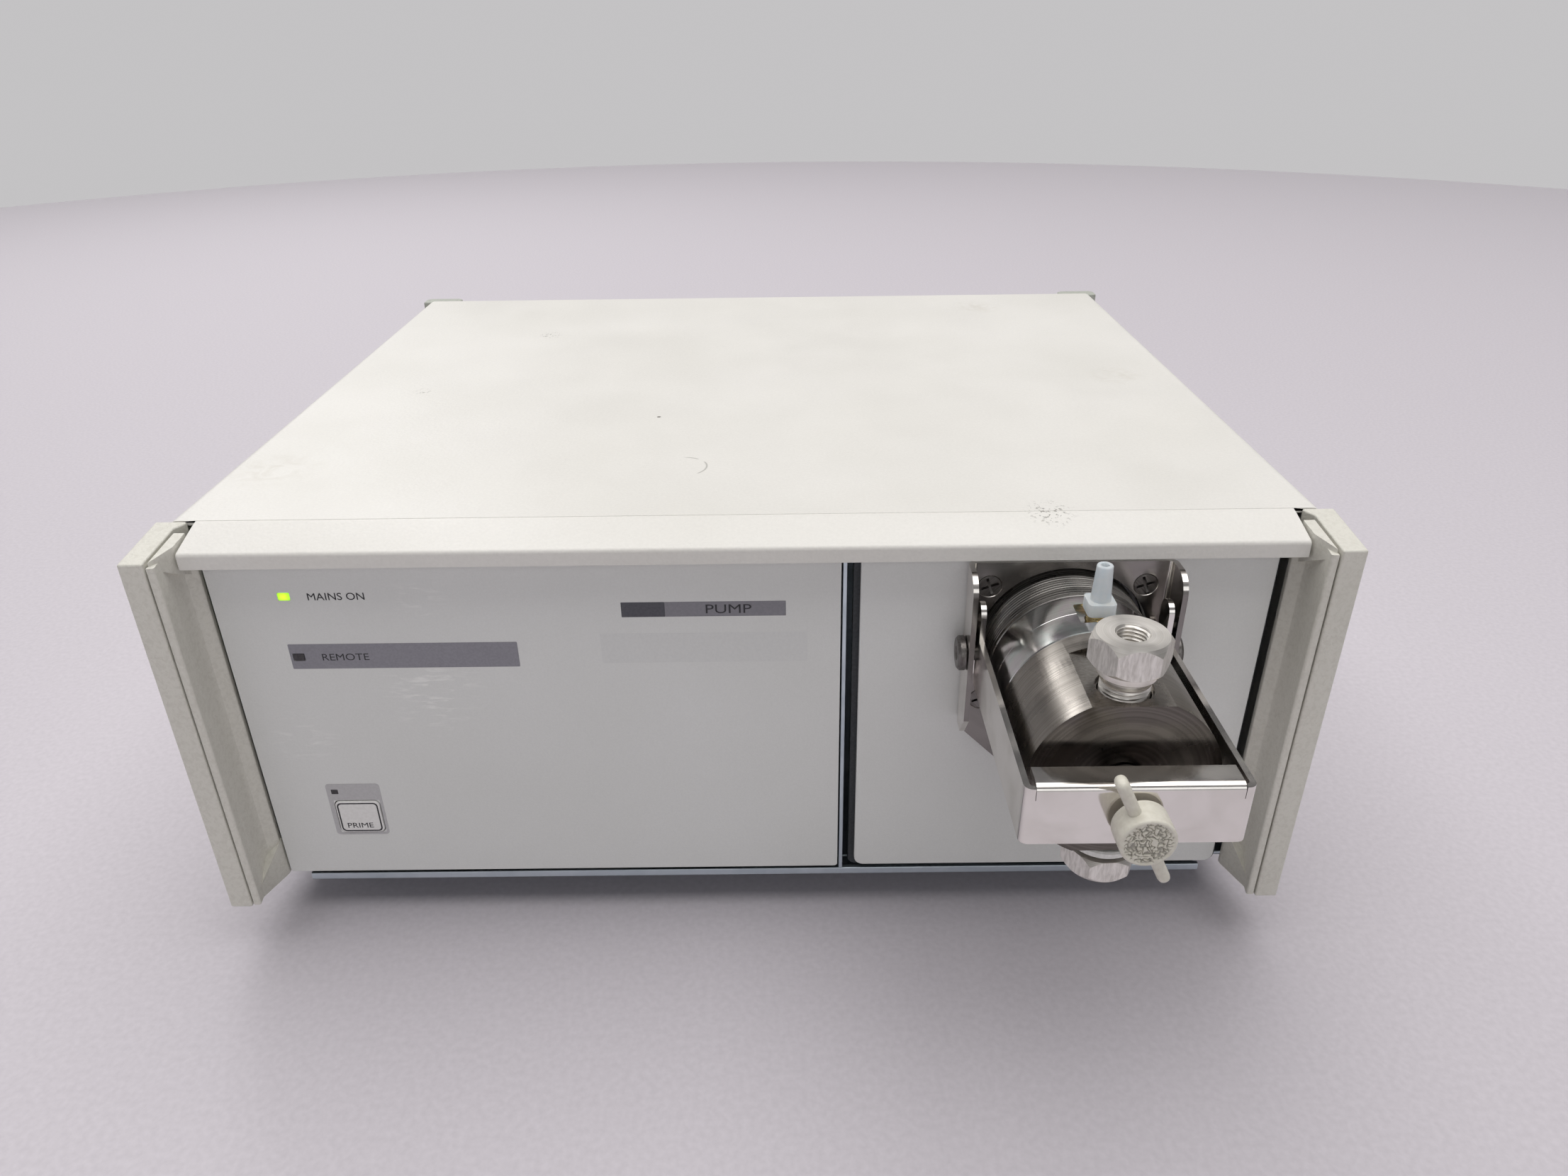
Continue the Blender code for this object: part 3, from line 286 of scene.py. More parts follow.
def grained_plastic(name, base, dull, grain, depth):
    """Moulded plastic with a leather grain, darker in the low spots of the grain."""
    look = Look(name, 0.5)
    leather = look.noise(grain, 2.5, distortion=0.8)
    # darker where the grain's height is low, with a faint cloudy tone on top
    grain_tone = look.mix(look.ramp(leather, (0.36, 0.45), (0.56, 0.0)), base, dull)
    grain_tone = look.mix(look.ramp(look.noise(90, 2), (0.4, 0.0), (0.8, 0.2)), grain_tone, dull)
    look.roughness(look.ramp(look.noise(3, 2), (0.3, 0.42), (0.7, 0.6)))
    look.bump((leather, depth), (look.noise(grain * 0.35, 2), depth * 0.25))
    return look.colour(grain_tone).material


def sheet_metal(name, base, dull, roughness, smudge):
    """Plated sheet: a smudged mirror with fine scratches along X and Y."""
    look = Look(name, roughness, 1.0)
    cloud = look.noise(14, 4, distortion=0.5)
    tone = look.mix(look.ramp(cloud, (0.4, 0.0), (0.7, 0.8)), base, dull)
    lines = look.noise(1.6, 4, look.stretched((0.16, 1.4, 1.4)), 0.3)
    look.roughness(look.ramp(cloud, (0.35, roughness), (0.7, roughness + smudge)))
    look.bump((look.noise(22, 2), 0.10), (lines, 0.003))
    return look.colour(tone).material


def turned_metal(name, base, dull, roughness, axis, centre, pitch, depth, sheen=None):
    """Machined metal with lathe marks round an axis; sheen adds a faint two-tone tint."""
    look = Look(name, roughness, 1.0)
    place = look.turned_place(axis, centre)
    marks = look.noise(pitch, 4, place)
    tone = look.mix(look.ramp(marks, (0.35, 0.0), (0.65, 1.0)), base, dull)
    if sheen:
        tint = look.ramp(look.noise(9, 2, distortion=1.2), (0.35, sheen[0]), (0.5, base), (0.65, sheen[1]))
        tone = look.mix(0.35, tone, tint)
    cloud = look.noise(8, 3)
    look.roughness(look.ramp(cloud, (0.3, roughness - 0.04), (0.7, roughness + 0.1)))
    look.bump((marks, depth), (look.noise(0.5, 3), depth * 0.3))
    return look.colour(tone).material


def milled_metal(name, base, dull, roughness):
    """Machined metal with slanting mill marks."""
    look = Look(name, roughness, 1.0)
    slant = look.stretched((1.0, 1.0, 0.22))
    marks = look.noise(0.8, 3, slant, 0.6)
    tone = look.mix(look.ramp(marks, (0.35, 0.0), (0.65, 1.0)), base, dull)
    look.roughness(look.ramp(look.noise(5, 3), (0.3, roughness), (0.7, roughness + 0.12)))
    look.bump((marks, 0.012))
    return look.colour(tone).material


def speckled(name, base, other, size, roughness, depth, metallic=0.0, **settings):
    """Plain stuff with fine speckle: rubber, moulded or cast surfaces, ink."""
    look = Look(name, roughness, metallic, **settings)
    grain = look.noise(size, 4)
    look.colour(look.mix(look.ramp(grain, (0.35, 0.0), (0.68, 1.0)), base, other))
    look.roughness(look.ramp(look.noise(size * 6, 3), (0.3, roughness - 0.05), (0.7, roughness + 0.08)))
    look.bump((grain, depth))
    return look.material


def lens(name, core, rim, glow):
    """A small diffusing lens, brighter in its middle."""
    look = Look(name, 0.25)
    y = PANEL.y0
    middle = look.near(span("mains_led").x0 / 2 + span("mains_led").x1 / 2, y,
                       (span("mains_led").z0 + span("mains_led").z1) / 2, 2.4, 0.9)
    tone = look.mix(middle, rim, core)
    tone = look.mix(look.ramp(look.noise(0.6, 2), (0.4, 0.0), (0.7, 0.15)), tone, rim)
    look.colour(tone)
    if glow:
        look.link(tone, look.shader.inputs["Emission Color"])
        look.shader.inputs["Emission Strength"].default_value = glow
    look.bump((look.noise(0.8, 1), 0.02))
    return look.material


def circuit_board_look():
    look = Look("circuit_board", 0.4)
    parts = look.add("ShaderNodeSeparateXYZ")
    look.link(look.where, parts.inputs[0])
    above = look.ramp(look.math("MULTIPLY", parts.outputs["Z"], 10.0), (0.2562, 0.0), (0.2575, 1.0))
    tracks = look.ramp(look.cells(3.0, look.stretched((1, 0.3, 1)), "DISTANCE_TO_EDGE"), (0.03, 1.0),
                       (0.09, 0.0))
    board = look.mix(tracks, (0.012, 0.09, 0.035, 1), (0.03, 0.2, 0.08, 1))
    chip = look.mix(look.ramp(look.noise(6, 2), (0.4, 0.0), (0.6, 1.0)), (0.02, 0.02, 0.022, 1),
                    (0.1, 0.1, 0.11, 1))
    look.bump((look.noise(1.5, 2), 0.02))
    return look.colour(look.mix(above, board, chip)).material


def laminated():
    look = Look("laminated_iron", 0.45, 1.0)
    leaves = look.noise(0.9, 1, look.stretched((0, 0, 1)))
    look.bump((leaves, 0.08))
    return look.colour(look.mix(leaves, (0.10, 0.09, 0.08, 1), (0.30, 0.27, 0.24, 1))).material


def milky():
    """Translucent bluish-white moulded plastic."""
    look = Look("plastic_milky", 0.3, Subsurface_Weight=0.5, Transmission_Weight=0.35, IOR=1.45)
    look.set(**{"Subsurface Scale": 0.004, "Subsurface Radius": (1.0, 1.0, 1.0)})
    cloud = look.noise(3.5, 2)
    look.colour(look.mix(look.ramp(cloud, (0.35, 0.0), (0.65, 1.0)), (0.80, 0.90, 0.97, 1),
                         (0.90, 0.96, 0.99, 1)))
    look.bump((look.noise(1.2, 2), 0.02))
    return look.material


def knob_plastic():
    """Cream moulded plastic, with painted shade darkening the hollows of its wrinkled face."""
    look = Look("plastic_knob", 0.45)
    grain = look.noise(1.6, 3)
    tone = look.mix(look.ramp(grain, (0.35, 0.0), (0.68, 1.0)), shade(212, 209, 197), shade(202, 198, 185))
    parts = look.add("ShaderNodeSeparateXYZ")
    look.link(look.where, parts.inputs[0])
    # painted shade: the face darkens towards dark grey the deeper it sits behind the front
    deep = look.math("DIVIDE", look.math("SUBTRACT", parts.outputs["Y"], KNOB.y0 * MM + FRONT_FACE), MM)
    hollow_shade = look.math("MULTIPLY", look.ramp(deep, (0.10, 0.0), (0.55, 0.7)),
                       look.near(HEAD_X, KNOB.y0 + 0.4, CLAMP_Z, 5.6, 0.04))
    look.bump((look.noise(0.9, 2), 0.03))
    return look.colour(look.mix(hollow_shade, tone, shade(92, 89, 81))).material


def rgba(colour):
    return colour if len(colour) == 4 else (*colour, 1.0)


SPECKLED = {    # two colours, grain size, roughness, bump depth, metallic
    "plate_dark": ((0.016, 0.019, 0.022), (0.035, 0.04, 0.045), 0.8, 0.5, 0.02),
    "rubber_black": ((0.012, 0.012, 0.012), (0.03, 0.03, 0.03), 0.7, 0.75, 0.05),
    "key_white": (shade(231, 230, 228), shade(223, 222, 219), 1.0, 0.36, 0.012),
    "led_dark": ((0.018, 0.016, 0.018), (0.05, 0.045, 0.05), 0.6, 0.3, 0.01),
    "polymer_white": ((0.8, 0.8, 0.77), (0.68, 0.68, 0.65), 0.9, 0.4, 0.015),
    "ruby": ((0.42, 0.01, 0.03), (0.6, 0.03, 0.06), 1.0, 0.12, 0.003),
    "ceramic": ((0.82, 0.8, 0.74), (0.74, 0.72, 0.66), 0.8, 0.16, 0.003),
    "cast_aluminium": ((0.5, 0.51, 0.52), (0.38, 0.39, 0.4), 0.9, 0.45, 0.06, 1.0),
    "plastic_black": ((0.014, 0.014, 0.015), (0.03, 0.03, 0.032), 0.5, 0.42, 0.02),
    "ink_dark": ((0.012, 0.012, 0.015), (0.03, 0.03, 0.035), 0.5, 0.5, 0.004),
    "ink_bar": (shade(140, 139, 146), shade(132, 131, 138), 0.7, 0.45, 0.004),
    "ink_label": (shade(80, 80, 87), shade(72, 72, 79), 0.7, 0.45, 0.004),
    "ink_label_light": (shade(132, 131, 137), shade(125, 124, 130), 0.7, 0.45, 0.004),
    "ink_grey": (shade(187, 186, 187), shade(180, 179, 180), 0.7, 0.45, 0.004),
    "ink_faint": (shade(214, 215, 213), shade(210, 211, 209), 0.7, 0.34, 0.004),
}
SHEETS = {    # plate colour, dull colour, roughness, smudge
    "zinc_plate": ((0.6, 0.67, 0.72), (0.48, 0.55, 0.6), 0.32, 0.15),
    "nickel_plate": ((0.8, 0.77, 0.74), (0.64, 0.61, 0.57), 0.09, 0.16),
    # painted shade: a darker copy of nickel plate, put on the bracket's front faces
    "nickel_painted_shade": ((0.26, 0.245, 0.235), (0.17, 0.16, 0.15), 0.15, 0.12),
}
GRAINED = {    # base, dull colour, grain size, depth
    "plastic_trim": (shade(214, 212, 203), shade(196, 193, 183), 1.3, 0.13),
    "plastic_corner": (shade(176, 179, 170), shade(150, 152, 143), 1.2, 0.08),
}


def make_looks():
    head_axis = (HEAD_X, 0, HEAD_Z)
    valve_axis = (HEAD_X, VALVE_Y, 0)
    clamp_axis = (HEAD_X, 0, CLAMP_Z)
    luer_axis = ((LUER.x0 + LUER.x1) / 2, (LUER.y0 + LUER.y1) / 2, 0)
    turned_looks = {    # colour, dull colour, roughness, axis, centre, pitch, depth, two-tone sheen
        # painted shade: a darker copy of titanium, put on the head's front faces
        "titanium_painted_shade": ((0.17, 0.155, 0.14), (0.11, 0.1, 0.09), 0.22, "Y", head_axis, 0.6, 0.004),
        "stainless": ((0.62, 0.6, 0.57), (0.18, 0.17, 0.16), 0.26, "Y", head_axis, 0.55, 0.03),
        "rinse_steel": ((0.76, 0.75, 0.74), (0.6, 0.59, 0.58), 0.14, "Y", head_axis, 0.5, 0.005,
                        ((0.8, 0.68, 0.8, 1), (0.66, 0.8, 0.76, 1))),
        "titanium": ((0.38, 0.35, 0.32), (0.27, 0.25, 0.225), 0.26, "Y", head_axis, 0.4, 0.006),
        "valve_metal": ((0.84, 0.81, 0.77), (0.7, 0.67, 0.62), 0.36, "Z", valve_axis, 0.35, 0.006),
        "screw_steel": ((0.22, 0.21, 0.2), (0.13, 0.12, 0.115), 0.34, "Y", clamp_axis, 0.4, 0.004),
        "brass": ((0.72, 0.58, 0.3), (0.55, 0.42, 0.2), 0.2, "Z", luer_axis, 0.3, 0.01),
    }
    looks = {name: turned_metal(name, *settings) for name, settings in turned_looks.items()}
    looks.update({name: speckled(name, *settings) for name, settings in SPECKLED.items()})
    looks.update({name: sheet_metal(name, *settings) for name, settings in SHEETS.items()})
    looks.update({name: grained_plastic(name, *settings) for name, settings in GRAINED.items()})
    looks["paint_cover"] = cover_paint()
    looks["paint_panel"] = panel_paint()
    looks["plastic_knob"] = knob_plastic()
    looks["plastic_milky"] = milky()
    looks["circuit_board"] = circuit_board_look()
    looks["lamination"] = laminated()
    looks["led_green"] = lens("led_green", (0.62, 0.98, 0.03, 1), (0.2, 0.55, 0.02, 1), 1.1)
    looks["valve_faces"] = milled_metal("valve_faces", (0.8, 0.78, 0.74, 1), (0.58, 0.56, 0.52, 1), 0.28)
    return looks


# ---- mesh helpers, in datum millimetres ----

def point(x, y, z):
    """Datum millimetres to metres in the model's frame."""
    return Vector((x * MM, y * MM + FRONT_FACE, z * MM))


def prism(outline, axis, start, end):
    """A closed prism: outline is (y, z) along X, (x, z) along Y or (x, y) along Z."""
    def corner(a, b, along):
        return {"X": (along, a, b), "Y": (a, along, b), "Z": (a, b, along)}[axis]

    mesh = bmesh.new()
    rings = [[mesh.verts.new(corner(a, b, along)) for a, b in outline] for along in (start, end)]
    mesh.faces.new(rings[0])
    mesh.faces.new(rings[1])
    for i in range(len(outline)):
        j = (i + 1) % len(outline)
        mesh.faces.new((rings[0][i], rings[0][j], rings[1][j], rings[1][i]))
    return mesh


def box(x, y, z):
    return prism([(x[0], y[0]), (x[1], y[0]), (x[1], y[1]), (x[0], y[1])], "Z", z[0], z[1])


def turned(profile, axis, centre, segments=64, wave=None):
    """Revolves a closed profile of (radius, along). wave(radius, along, angle) may shift them."""
    mesh = bmesh.new()
    cx, cy, cz = centre

    def spot(radius, along, angle):
        if wave:
            radius, along = wave(radius, along, angle)
        a, b = radius * math.cos(angle), radius * math.sin(angle)
        return {"X": (along, cy + a, cz + b), "Y": (cx + a, along, cz + b),
                "Z": (cx + a, cy + b, along)}[axis]

    turn = 2 * math.pi / segments
    columns = []
    for radius, along in profile:
        if radius == 0:
            columns.append([mesh.verts.new(spot(0, along, 0))] * segments)
        else:
            columns.append([mesh.verts.new(spot(radius, along, turn * k)) for k in range(segments)])
    for i, column in enumerate(columns):
        following = columns[(i + 1) % len(columns)]
        for k in range(segments):
            m = (k + 1) % segments
            distinct = list(dict.fromkeys([column[k], column[m], following[m], following[k]]))
            if len(distinct) > 2:
                mesh.faces.new(distinct)
    return mesh


def rod(radius, axis, centre, start, end, segments=48):
    return turned([(0, start), (radius, start), (radius, end), (0, end)], axis, centre, segments)


def threaded(radius, depth, pitch, axis, centre, start, end, segments=48):
    """A rod with a helical V thread of the given depth cut into it."""
    low, high = sorted((start, end))
    rows = max(4, int((high - low) / pitch * 6))
    places = [low + (high - low) * k / rows for k in range(rows + 1)]
    profile = [(0, low)] + [(radius, along) for along in places] + [(0, high)]

    def wave(r, along, angle):
        if r == 0:
            return r, along
        phase = (along / pitch - angle / (2 * math.pi)) % 1.0
        fade = min(1.0, (along - low) / pitch + 0.2, (high - along) / pitch + 0.2)
        return r - depth * fade * abs(2 * phase - 1), along

    return turned(profile, axis, centre, segments, wave)


def arc(cx, cy, radius, first, last, steps=8):
    """Points on an arc, angles in degrees."""
    angles = [math.radians(first + (last - first) * k / steps) for k in range(steps + 1)]
    return [(cx + radius * math.cos(a), cy + radius * math.sin(a)) for a in angles]


def rounded(x, z, radius, steps=6):
    """A rectangle's outline with round corners."""
    (x0, x1), (z0, z1) = x, z
    return (arc(x0 + radius, z0 + radius, radius, 180, 270, steps)
            + arc(x1 - radius, z0 + radius, radius, 270, 360, steps)
            + arc(x1 - radius, z1 - radius, radius, 0, 90, steps)
            + arc(x0 + radius, z1 - radius, radius, 90, 180, steps))


def mirrored(outline, side):
    return [(side * x, y) for x, y in outline]


def moved(mesh, matrix):
    bmesh.ops.transform(mesh, matrix=matrix, verts=mesh.verts)
    return mesh


class Piece:
    """A shape that grows by Booleans in datum millimetres and becomes a piece of the object."""

    def __init__(self, name, mesh):
        self.obj = self.to_object(name, mesh)
        self.tools = []

    @staticmethod
    def to_object(name, mesh):
        bmesh.ops.recalc_face_normals(mesh, faces=mesh.faces)
        for vert in mesh.verts:
            vert.co = point(*vert.co)
        data = bpy.data.meshes.new(name)
        mesh.to_mesh(data)
        mesh.free()
        obj = bpy.data.objects.new(name, data)
        bpy.context.scene.collection.objects.link(obj)
        return obj

    def combine(self, mesh, operation):
        tool = self.to_object("tool", mesh)
        self.tools.append(tool)
        modifier = self.obj.modifiers.new(operation, "BOOLEAN")
        modifier.operation = operation
        modifier.object = tool
        return self

    def cut(self, mesh):
        return self.combine(mesh, "DIFFERENCE")

    def join(self, mesh):
        return self.combine(mesh, "UNION")

    def evaluate(self):
        graph = bpy.context.evaluated_depsgraph_get()
        data = bpy.data.meshes.new_from_object(self.obj.evaluated_get(graph))
        self.obj.modifiers.clear()
        self.obj.data = data
        data.name = self.obj.name
        for tool in self.tools:
            bpy.data.objects.remove(tool, do_unlink=True)
        self.tools = []

    def done(self, look, body="housing", stands_for=(), soften=0.0, steps=2, angle=35,
             faces=None):
        self.evaluate()
        if soften:
            bevel = self.obj.modifiers.new("soften", "BEVEL")
            bevel.width = soften * MM
            bevel.segments = steps
            bevel.limit_method = "ANGLE"
            bevel.angle_limit = math.radians(28)
            self.evaluate()
        data = self.obj.data
        data.shade_smooth()
        data.set_sharp_from_angle(angle=math.radians(angle))
        data.materials.clear()
        data.materials.append(LOOKS[look])
        if faces:
            data.materials.append(LOOKS[faces[0]])
            for polygon in data.polygons:
                if faces[1](polygon):
                    polygon.material_index = 1
        if soften:
            self.obj.modifiers.new("flat_shading", "WEIGHTED_NORMAL").keep_sharp = True
        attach(self.obj, body)
        if stands_for:
            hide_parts(*stands_for)
        return self.obj


def lettering(name, text, x, z, height, look, body="housing", proud=0.06, face=None, wide=1.0):
    """Printed words: thin raised letters on a front face, x and z at their lower left corner."""
    face = PANEL.y0 if face is None else face
    curve = bpy.data.curves.new(name, "FONT")
    curve.body = text
    curve.size = height / 0.7 * MM
    curve.extrude = proud * MM
    curve.resolution_u = 4
    obj = bpy.data.objects.new(name, curve)
    bpy.context.scene.collection.objects.link(obj)
    graph = bpy.context.evaluated_depsgraph_get()
    data = bpy.data.meshes.new_from_object(obj.evaluated_get(graph))
    bpy.data.objects.remove(obj, do_unlink=True)
    data.transform(Matrix.Translation(point(x, face, z)) @ Matrix.Rotation(math.pi / 2, 4, "X")
                   @ Matrix.Diagonal((wide, 1, 1, 1)))
    data.materials.clear()
    data.materials.append(LOOKS[look])
    obj = bpy.data.objects.new(name, data)
    bpy.context.scene.collection.objects.link(obj)
    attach(obj, body)
    return obj


def printed(name, x, z, look, radius=0.15, proud=0.04, face=None):
    """A printed patch: a very thin plate on the panel's face."""
    face = PANEL.y0 if face is None else face
    return Piece(name, prism(rounded(x, z, radius, 4), "Y", face - proud,
                             face + 0.1)).done(look)


# ---- case ----

def build_cover():
    half, top, bottom = COVER.x1, COVER.z1, COVER.z0
    fold, inner = 3.0, COVER.x1 - SHEET
    outline = ([(-half, bottom)] + arc(fold - half, top - fold, fold, 180, 90)
               + arc(half - fold, top - fold, fold, 90, 0) + [(half, bottom), (inner, bottom)]
               + arc(inner - SHEET, top - fold, SHEET, 0, 90) + arc(SHEET - inner, top - fold, SHEET, 90,
                                                                    180)
               + [(-inner, bottom)])
    cover = Piece("cover_shell", prism(outline, "Y", COVER_FRONT, COVER.y1))
    strip_half, drop, lip_bottom, nose = 153.9, 3.5, 132.5, 1.3
    front, low = COVER.y0, top - drop
    slope = math.degrees(math.atan2(drop - 0.15, COVER_FRONT - front))
    profile = ([(front, lip_bottom)] + arc(front + nose, low - nose, nose, 180, 90 + slope, 6)
               + [(COVER_FRONT - 1.5, top - 0.32), (COVER_FRONT + 1.0, top - 0.04),
                  (COVER_FRONT + 4, top - 0.5),
                  (COVER_FRONT + 4, top - 1.1), (COVER_FRONT, top - 1.8), (front + SHEET, low - SHEET),
                  (front + SHEET, lip_bottom)])
    cover.join(prism(profile, "X", -strip_half, strip_half))
    cover.done("paint_cover", stands_for=("top_cover",), soften=0.25)
    number = 1
    for side in (-1, 1):
        for y in (62.0, 238.0):
            cross_screw(f"cover_screw_{number}", (side * (COVER.x1 + 1.5), y, 24.0), (side, 0, 0), 3.2,
                        1.5,
                        "zinc_plate", 4.0)
            number += 1


def build_posts():
    for label, side in (("left", -1), ("right", 1)):
        outline = [(158.3, 0), (POST.x1, 0), (POST.x1, POST.y1), (156.1, POST.y1), (156.1, 21.0),
                   (158.3, 18.5)]
        post = prism(mirrored(outline, side), "Z", POST.z0, COVER.z1)
        slope_top(post)
        Piece(f"post_{label}", post).done("plastic_trim", stands_for=(f"front_post_{label}",), soften=0.8,
                                          steps=3)
        build_liner(label, side)
        build_rear_post(label, side)


def slope_top(mesh):
    """Lowers a post's top towards the front."""
    drop = COVER.z1 - POST.z1 + 2.5
    for vert in mesh.verts:
        if vert.co.z > COVER.z1 - 1:
            vert.co.z -= drop * max(0.0, 1 - vert.co.y / COVER_FRONT)
    return mesh


def build_liner(label, side):
    outline = ([(157.9, 0.6), (156.6, 0.6)] + arc(156.55, 1.35, 0.75, 270, 180, 5)
               + [(156.0, 2.4), (156.25, 4.0), (156.6, 8.0), (156.7, 11.4), (155.9, 13.2), (153.3, 15.1),
                  (153.0, 15.5), (153.0, 17.0), (157.9, 17.0)])
    liner = Piece(f"liner_{label}", prism(mirrored(outline, side), "Z", POST.z0 + 0.3, 137.0))
    foot = prism(mirrored([(157.5, 1.4), (152.5, 15.1), (152.5, 16.6), (157.5, 16.6)], side), "Z",
                 POST.z0, 31.0)
    for vert in foot.verts:
        if vert.co.z > 30:
            vert.co.z = 19.0 + 12.0 * min(1.0, (vert.co.y - 1.4) / 13.7)
    liner.join(foot)
    head = prism(mirrored([(157.5, 1.4), (154.4, 9.5), (154.4, 16.6), (157.5, 16.6)], side), "Z", 127.0,
                 COVER.z1 - 0.4)
    for vert in head.verts:
        if vert.co.z < 128:
            vert.co.z = 136.0 - 9.0 * min(1.0, (vert.co.y - 1.4) / 13.7)
        else:
            vert.co.z -= 2.5 * max(0.0, 1 - vert.co.y / COVER_FRONT)
    liner.join(head)
    liner.done("plastic_trim", stands_for=(f"post_liner_{label}",), soften=0.35)


def build_rear_post(label, side):
    rear = span(f"rear_post_{label}")
    inner, outer = sorted((abs(rear.x0), abs(rear.x1)))
    outline = [(inner, rear.y0), (outer, rear.y0), (outer, rear.y1 - 2), (outer - 2, rear.y1),
               (inner + 2, rear.y1), (inner, rear.y1 - 2)]
    piece = Piece(f"rear_corner_{label}", prism(mirrored(outline, side), "Z", rear.z0, rear.z1))
    for z in (26.0, 132.0):
        piece.cut(rod(3.6, "Y", (side * (inner + outer) / 2, 0, z), rear.y1 - 2.2, rear.y1 + 2))
    piece.done("plastic_corner", stands_for=(f"rear_post_{label}",), soften=0.8, steps=3)
    for number, z in enumerate((26.0, 132.0), 1):
        cross_screw(f"corner_screw_{label}_{number}", (side * (inner + outer) / 2, rear.y1 - 0.3, z),
                    (0, 1, 0),
                    3.0, 1.6, "zinc_plate", 4.0)


def cross_screw(name, head, direction, radius, tall, look, length=6.0, flat=False, body="housing",
                stands_for=()):
    """A cross-recess screw: head is the middle of its outer face, direction the way it faces."""
    if flat:
        profile = [(0, 0), (radius - 0.1, 0), (radius, -0.12), (radius, -0.4), (radius * 0.5, -2.0),
                   (radius * 0.5, -length), (0, -length)]
    else:
        profile = ([(0, 0)] + [(radius * math.sin(a), tall * 0.55 * (math.cos(a) - 1)) for a in
                               (math.radians(18 * k) for k in range(1, 5))]
                   + [(radius, -tall * 0.6), (radius, -tall), (radius * 0.5, -tall),
                      (radius * 0.5, -length),
                      (0, -length)])
    screw = turned(profile, "Z", (0, 0, 0), 32)
    turn = Vector((0, 0, 1)).rotation_difference(Vector(direction)).to_matrix().to_4x4()
    spot = Matrix.Translation(Vector(head)) @ turn
    piece = Piece(name, moved(screw, spot))
    for angle in (0, 90):
        wide = radius * 0.80
        slot = prism([(-wide, 1), (-wide, -0.15), (-wide * 0.45, -1.3), (wide * 0.45, -1.3), (wide, -0.15),
                      (wide, 1)], "Y", -radius * 0.12, radius * 0.12)
        piece.cut(moved(slot, spot @ Matrix.Rotation(math.radians(angle + 20), 4, "Z")))
    return piece.done(look, body, stands_for, 0.08, 1)


def build_feet():
    for end in ("front", "rear"):
        for label in ("left", "right"):
            foot = span(f"foot_{end}_{label}")
            radius = (foot.x1 - foot.x0) / 2
            centre = ((foot.x0 + foot.x1) / 2, (foot.y0 + foot.y1) / 2, 0)
            top = foot.z1
            profile = ([(0, 3.2), (3.4, 3.2), (3.4, 0.4), (3.8, 0)] + arc(radius - 2.2, 1.2, 1.2, 270,
                                                                          350, 5)
                       + [(radius - 0.5, 4.0), (radius - 0.8, 4.4), (radius - 0.4, 4.8), (radius, top - 1),
                          (radius, top), (0, top)])
            Piece(f"rubber_{end}_{label}", turned(profile, "Z", centre)).done(
                "rubber_black", stands_for=(f"foot_{end}_{label}",), soften=0.2)
            cross_screw(f"foot_screw_{end}_{label}", (centre[0], centre[1], 1.4), (0, 0, -1), 2.9, 1.5,
                        "zinc_plate", 2.2)


# ---- front panels ----

def window(node, grow=GAP):
    place = span(node)
    return (place.x0 - grow, place.x1 + grow), (place.z0 - grow, place.z1 + grow)


def build_control_panel():
    outline = rounded((PANEL.x0, PANEL.x1), (PANEL.z0, PANEL.z1), 1.0)
    panel = Piece("panel_plate", prism(outline, "Y", PANEL.y0, PANEL.y1))
    through = (PANEL.y0 - 2, PANEL.y1 + 2)
    panel.cut(prism(rounded(*window("prime_key"), 1.8), "Y", *through))
    for node in ("mains_led", "remote_led"):
        panel.cut(prism(rounded(*window(node, 0.15), 0.2), "Y", *through))
    panel.done("paint_panel", stands_for=("control_panel",), soften=0.3, steps=3)

    bar = span("remote_led")
    middle = (bar.z0 + bar.z1) / 2
    frame_print("remote_bar", (-133.4, -66.7), (middle - 4.0, middle + 4.4), "ink_bar",
                [window("remote_led", 0.15)])
    printed("label_dark", (-35.6, -23.1), (112.5, 117.3), "ink_label")
    printed("label_light", (-23.1, 11.5), (112.5, 117.3), "ink_label_light")
    printed("label_shadow", (-42.4, 17.6), (97.1, 107.1), "ink_faint", proud=0.02)
    key_x, key_z = window("prime_key", 0.0)
    frame_print("key_surround", (key_x[0] - 1.8, key_x[1] + 1.2), (key_z[0] - 1.2, key_z[1] + 6.8),
                "ink_grey",
                [window("prime_key"), ((-131.9, -129.7), (49.8, 51.6))], 1.2)
    printed("prime_lamp", (-131.9, -129.7), (49.8, 51.6), "led_dark", 0.2, 0.02)
    lettering("words_mains", "MAINS ON", -124.4, 119.2, 2.3, "ink_dark", wide=1.05)
    lettering("words_remote", "REMOTE", -124.4, middle - 1.2, 2.3, "ink_dark", wide=1.12)
    lettering("words_pump", "PUMP", -11.8, 113.5, 2.9, "ink_dark", wide=1.3)
    build_key()
    for node, look in (("mains_led", "led_green"), ("remote_led", "led_dark")):
        build_lens(node, look)


def frame_print(name, x, z, look, holes, radius=0.3):
    """A printed patch with windows in it."""
    patch = Piece(name, prism(rounded(x, z, radius, 4), "Y", PANEL.y0 - 0.05, PANEL.y0 + 0.1))
    for hole in holes:
        patch.cut(prism(rounded(*hole, 0.2, 3), "Y", PANEL.y0 - 1, PANEL.y0 + 1))
    return patch.done(look)


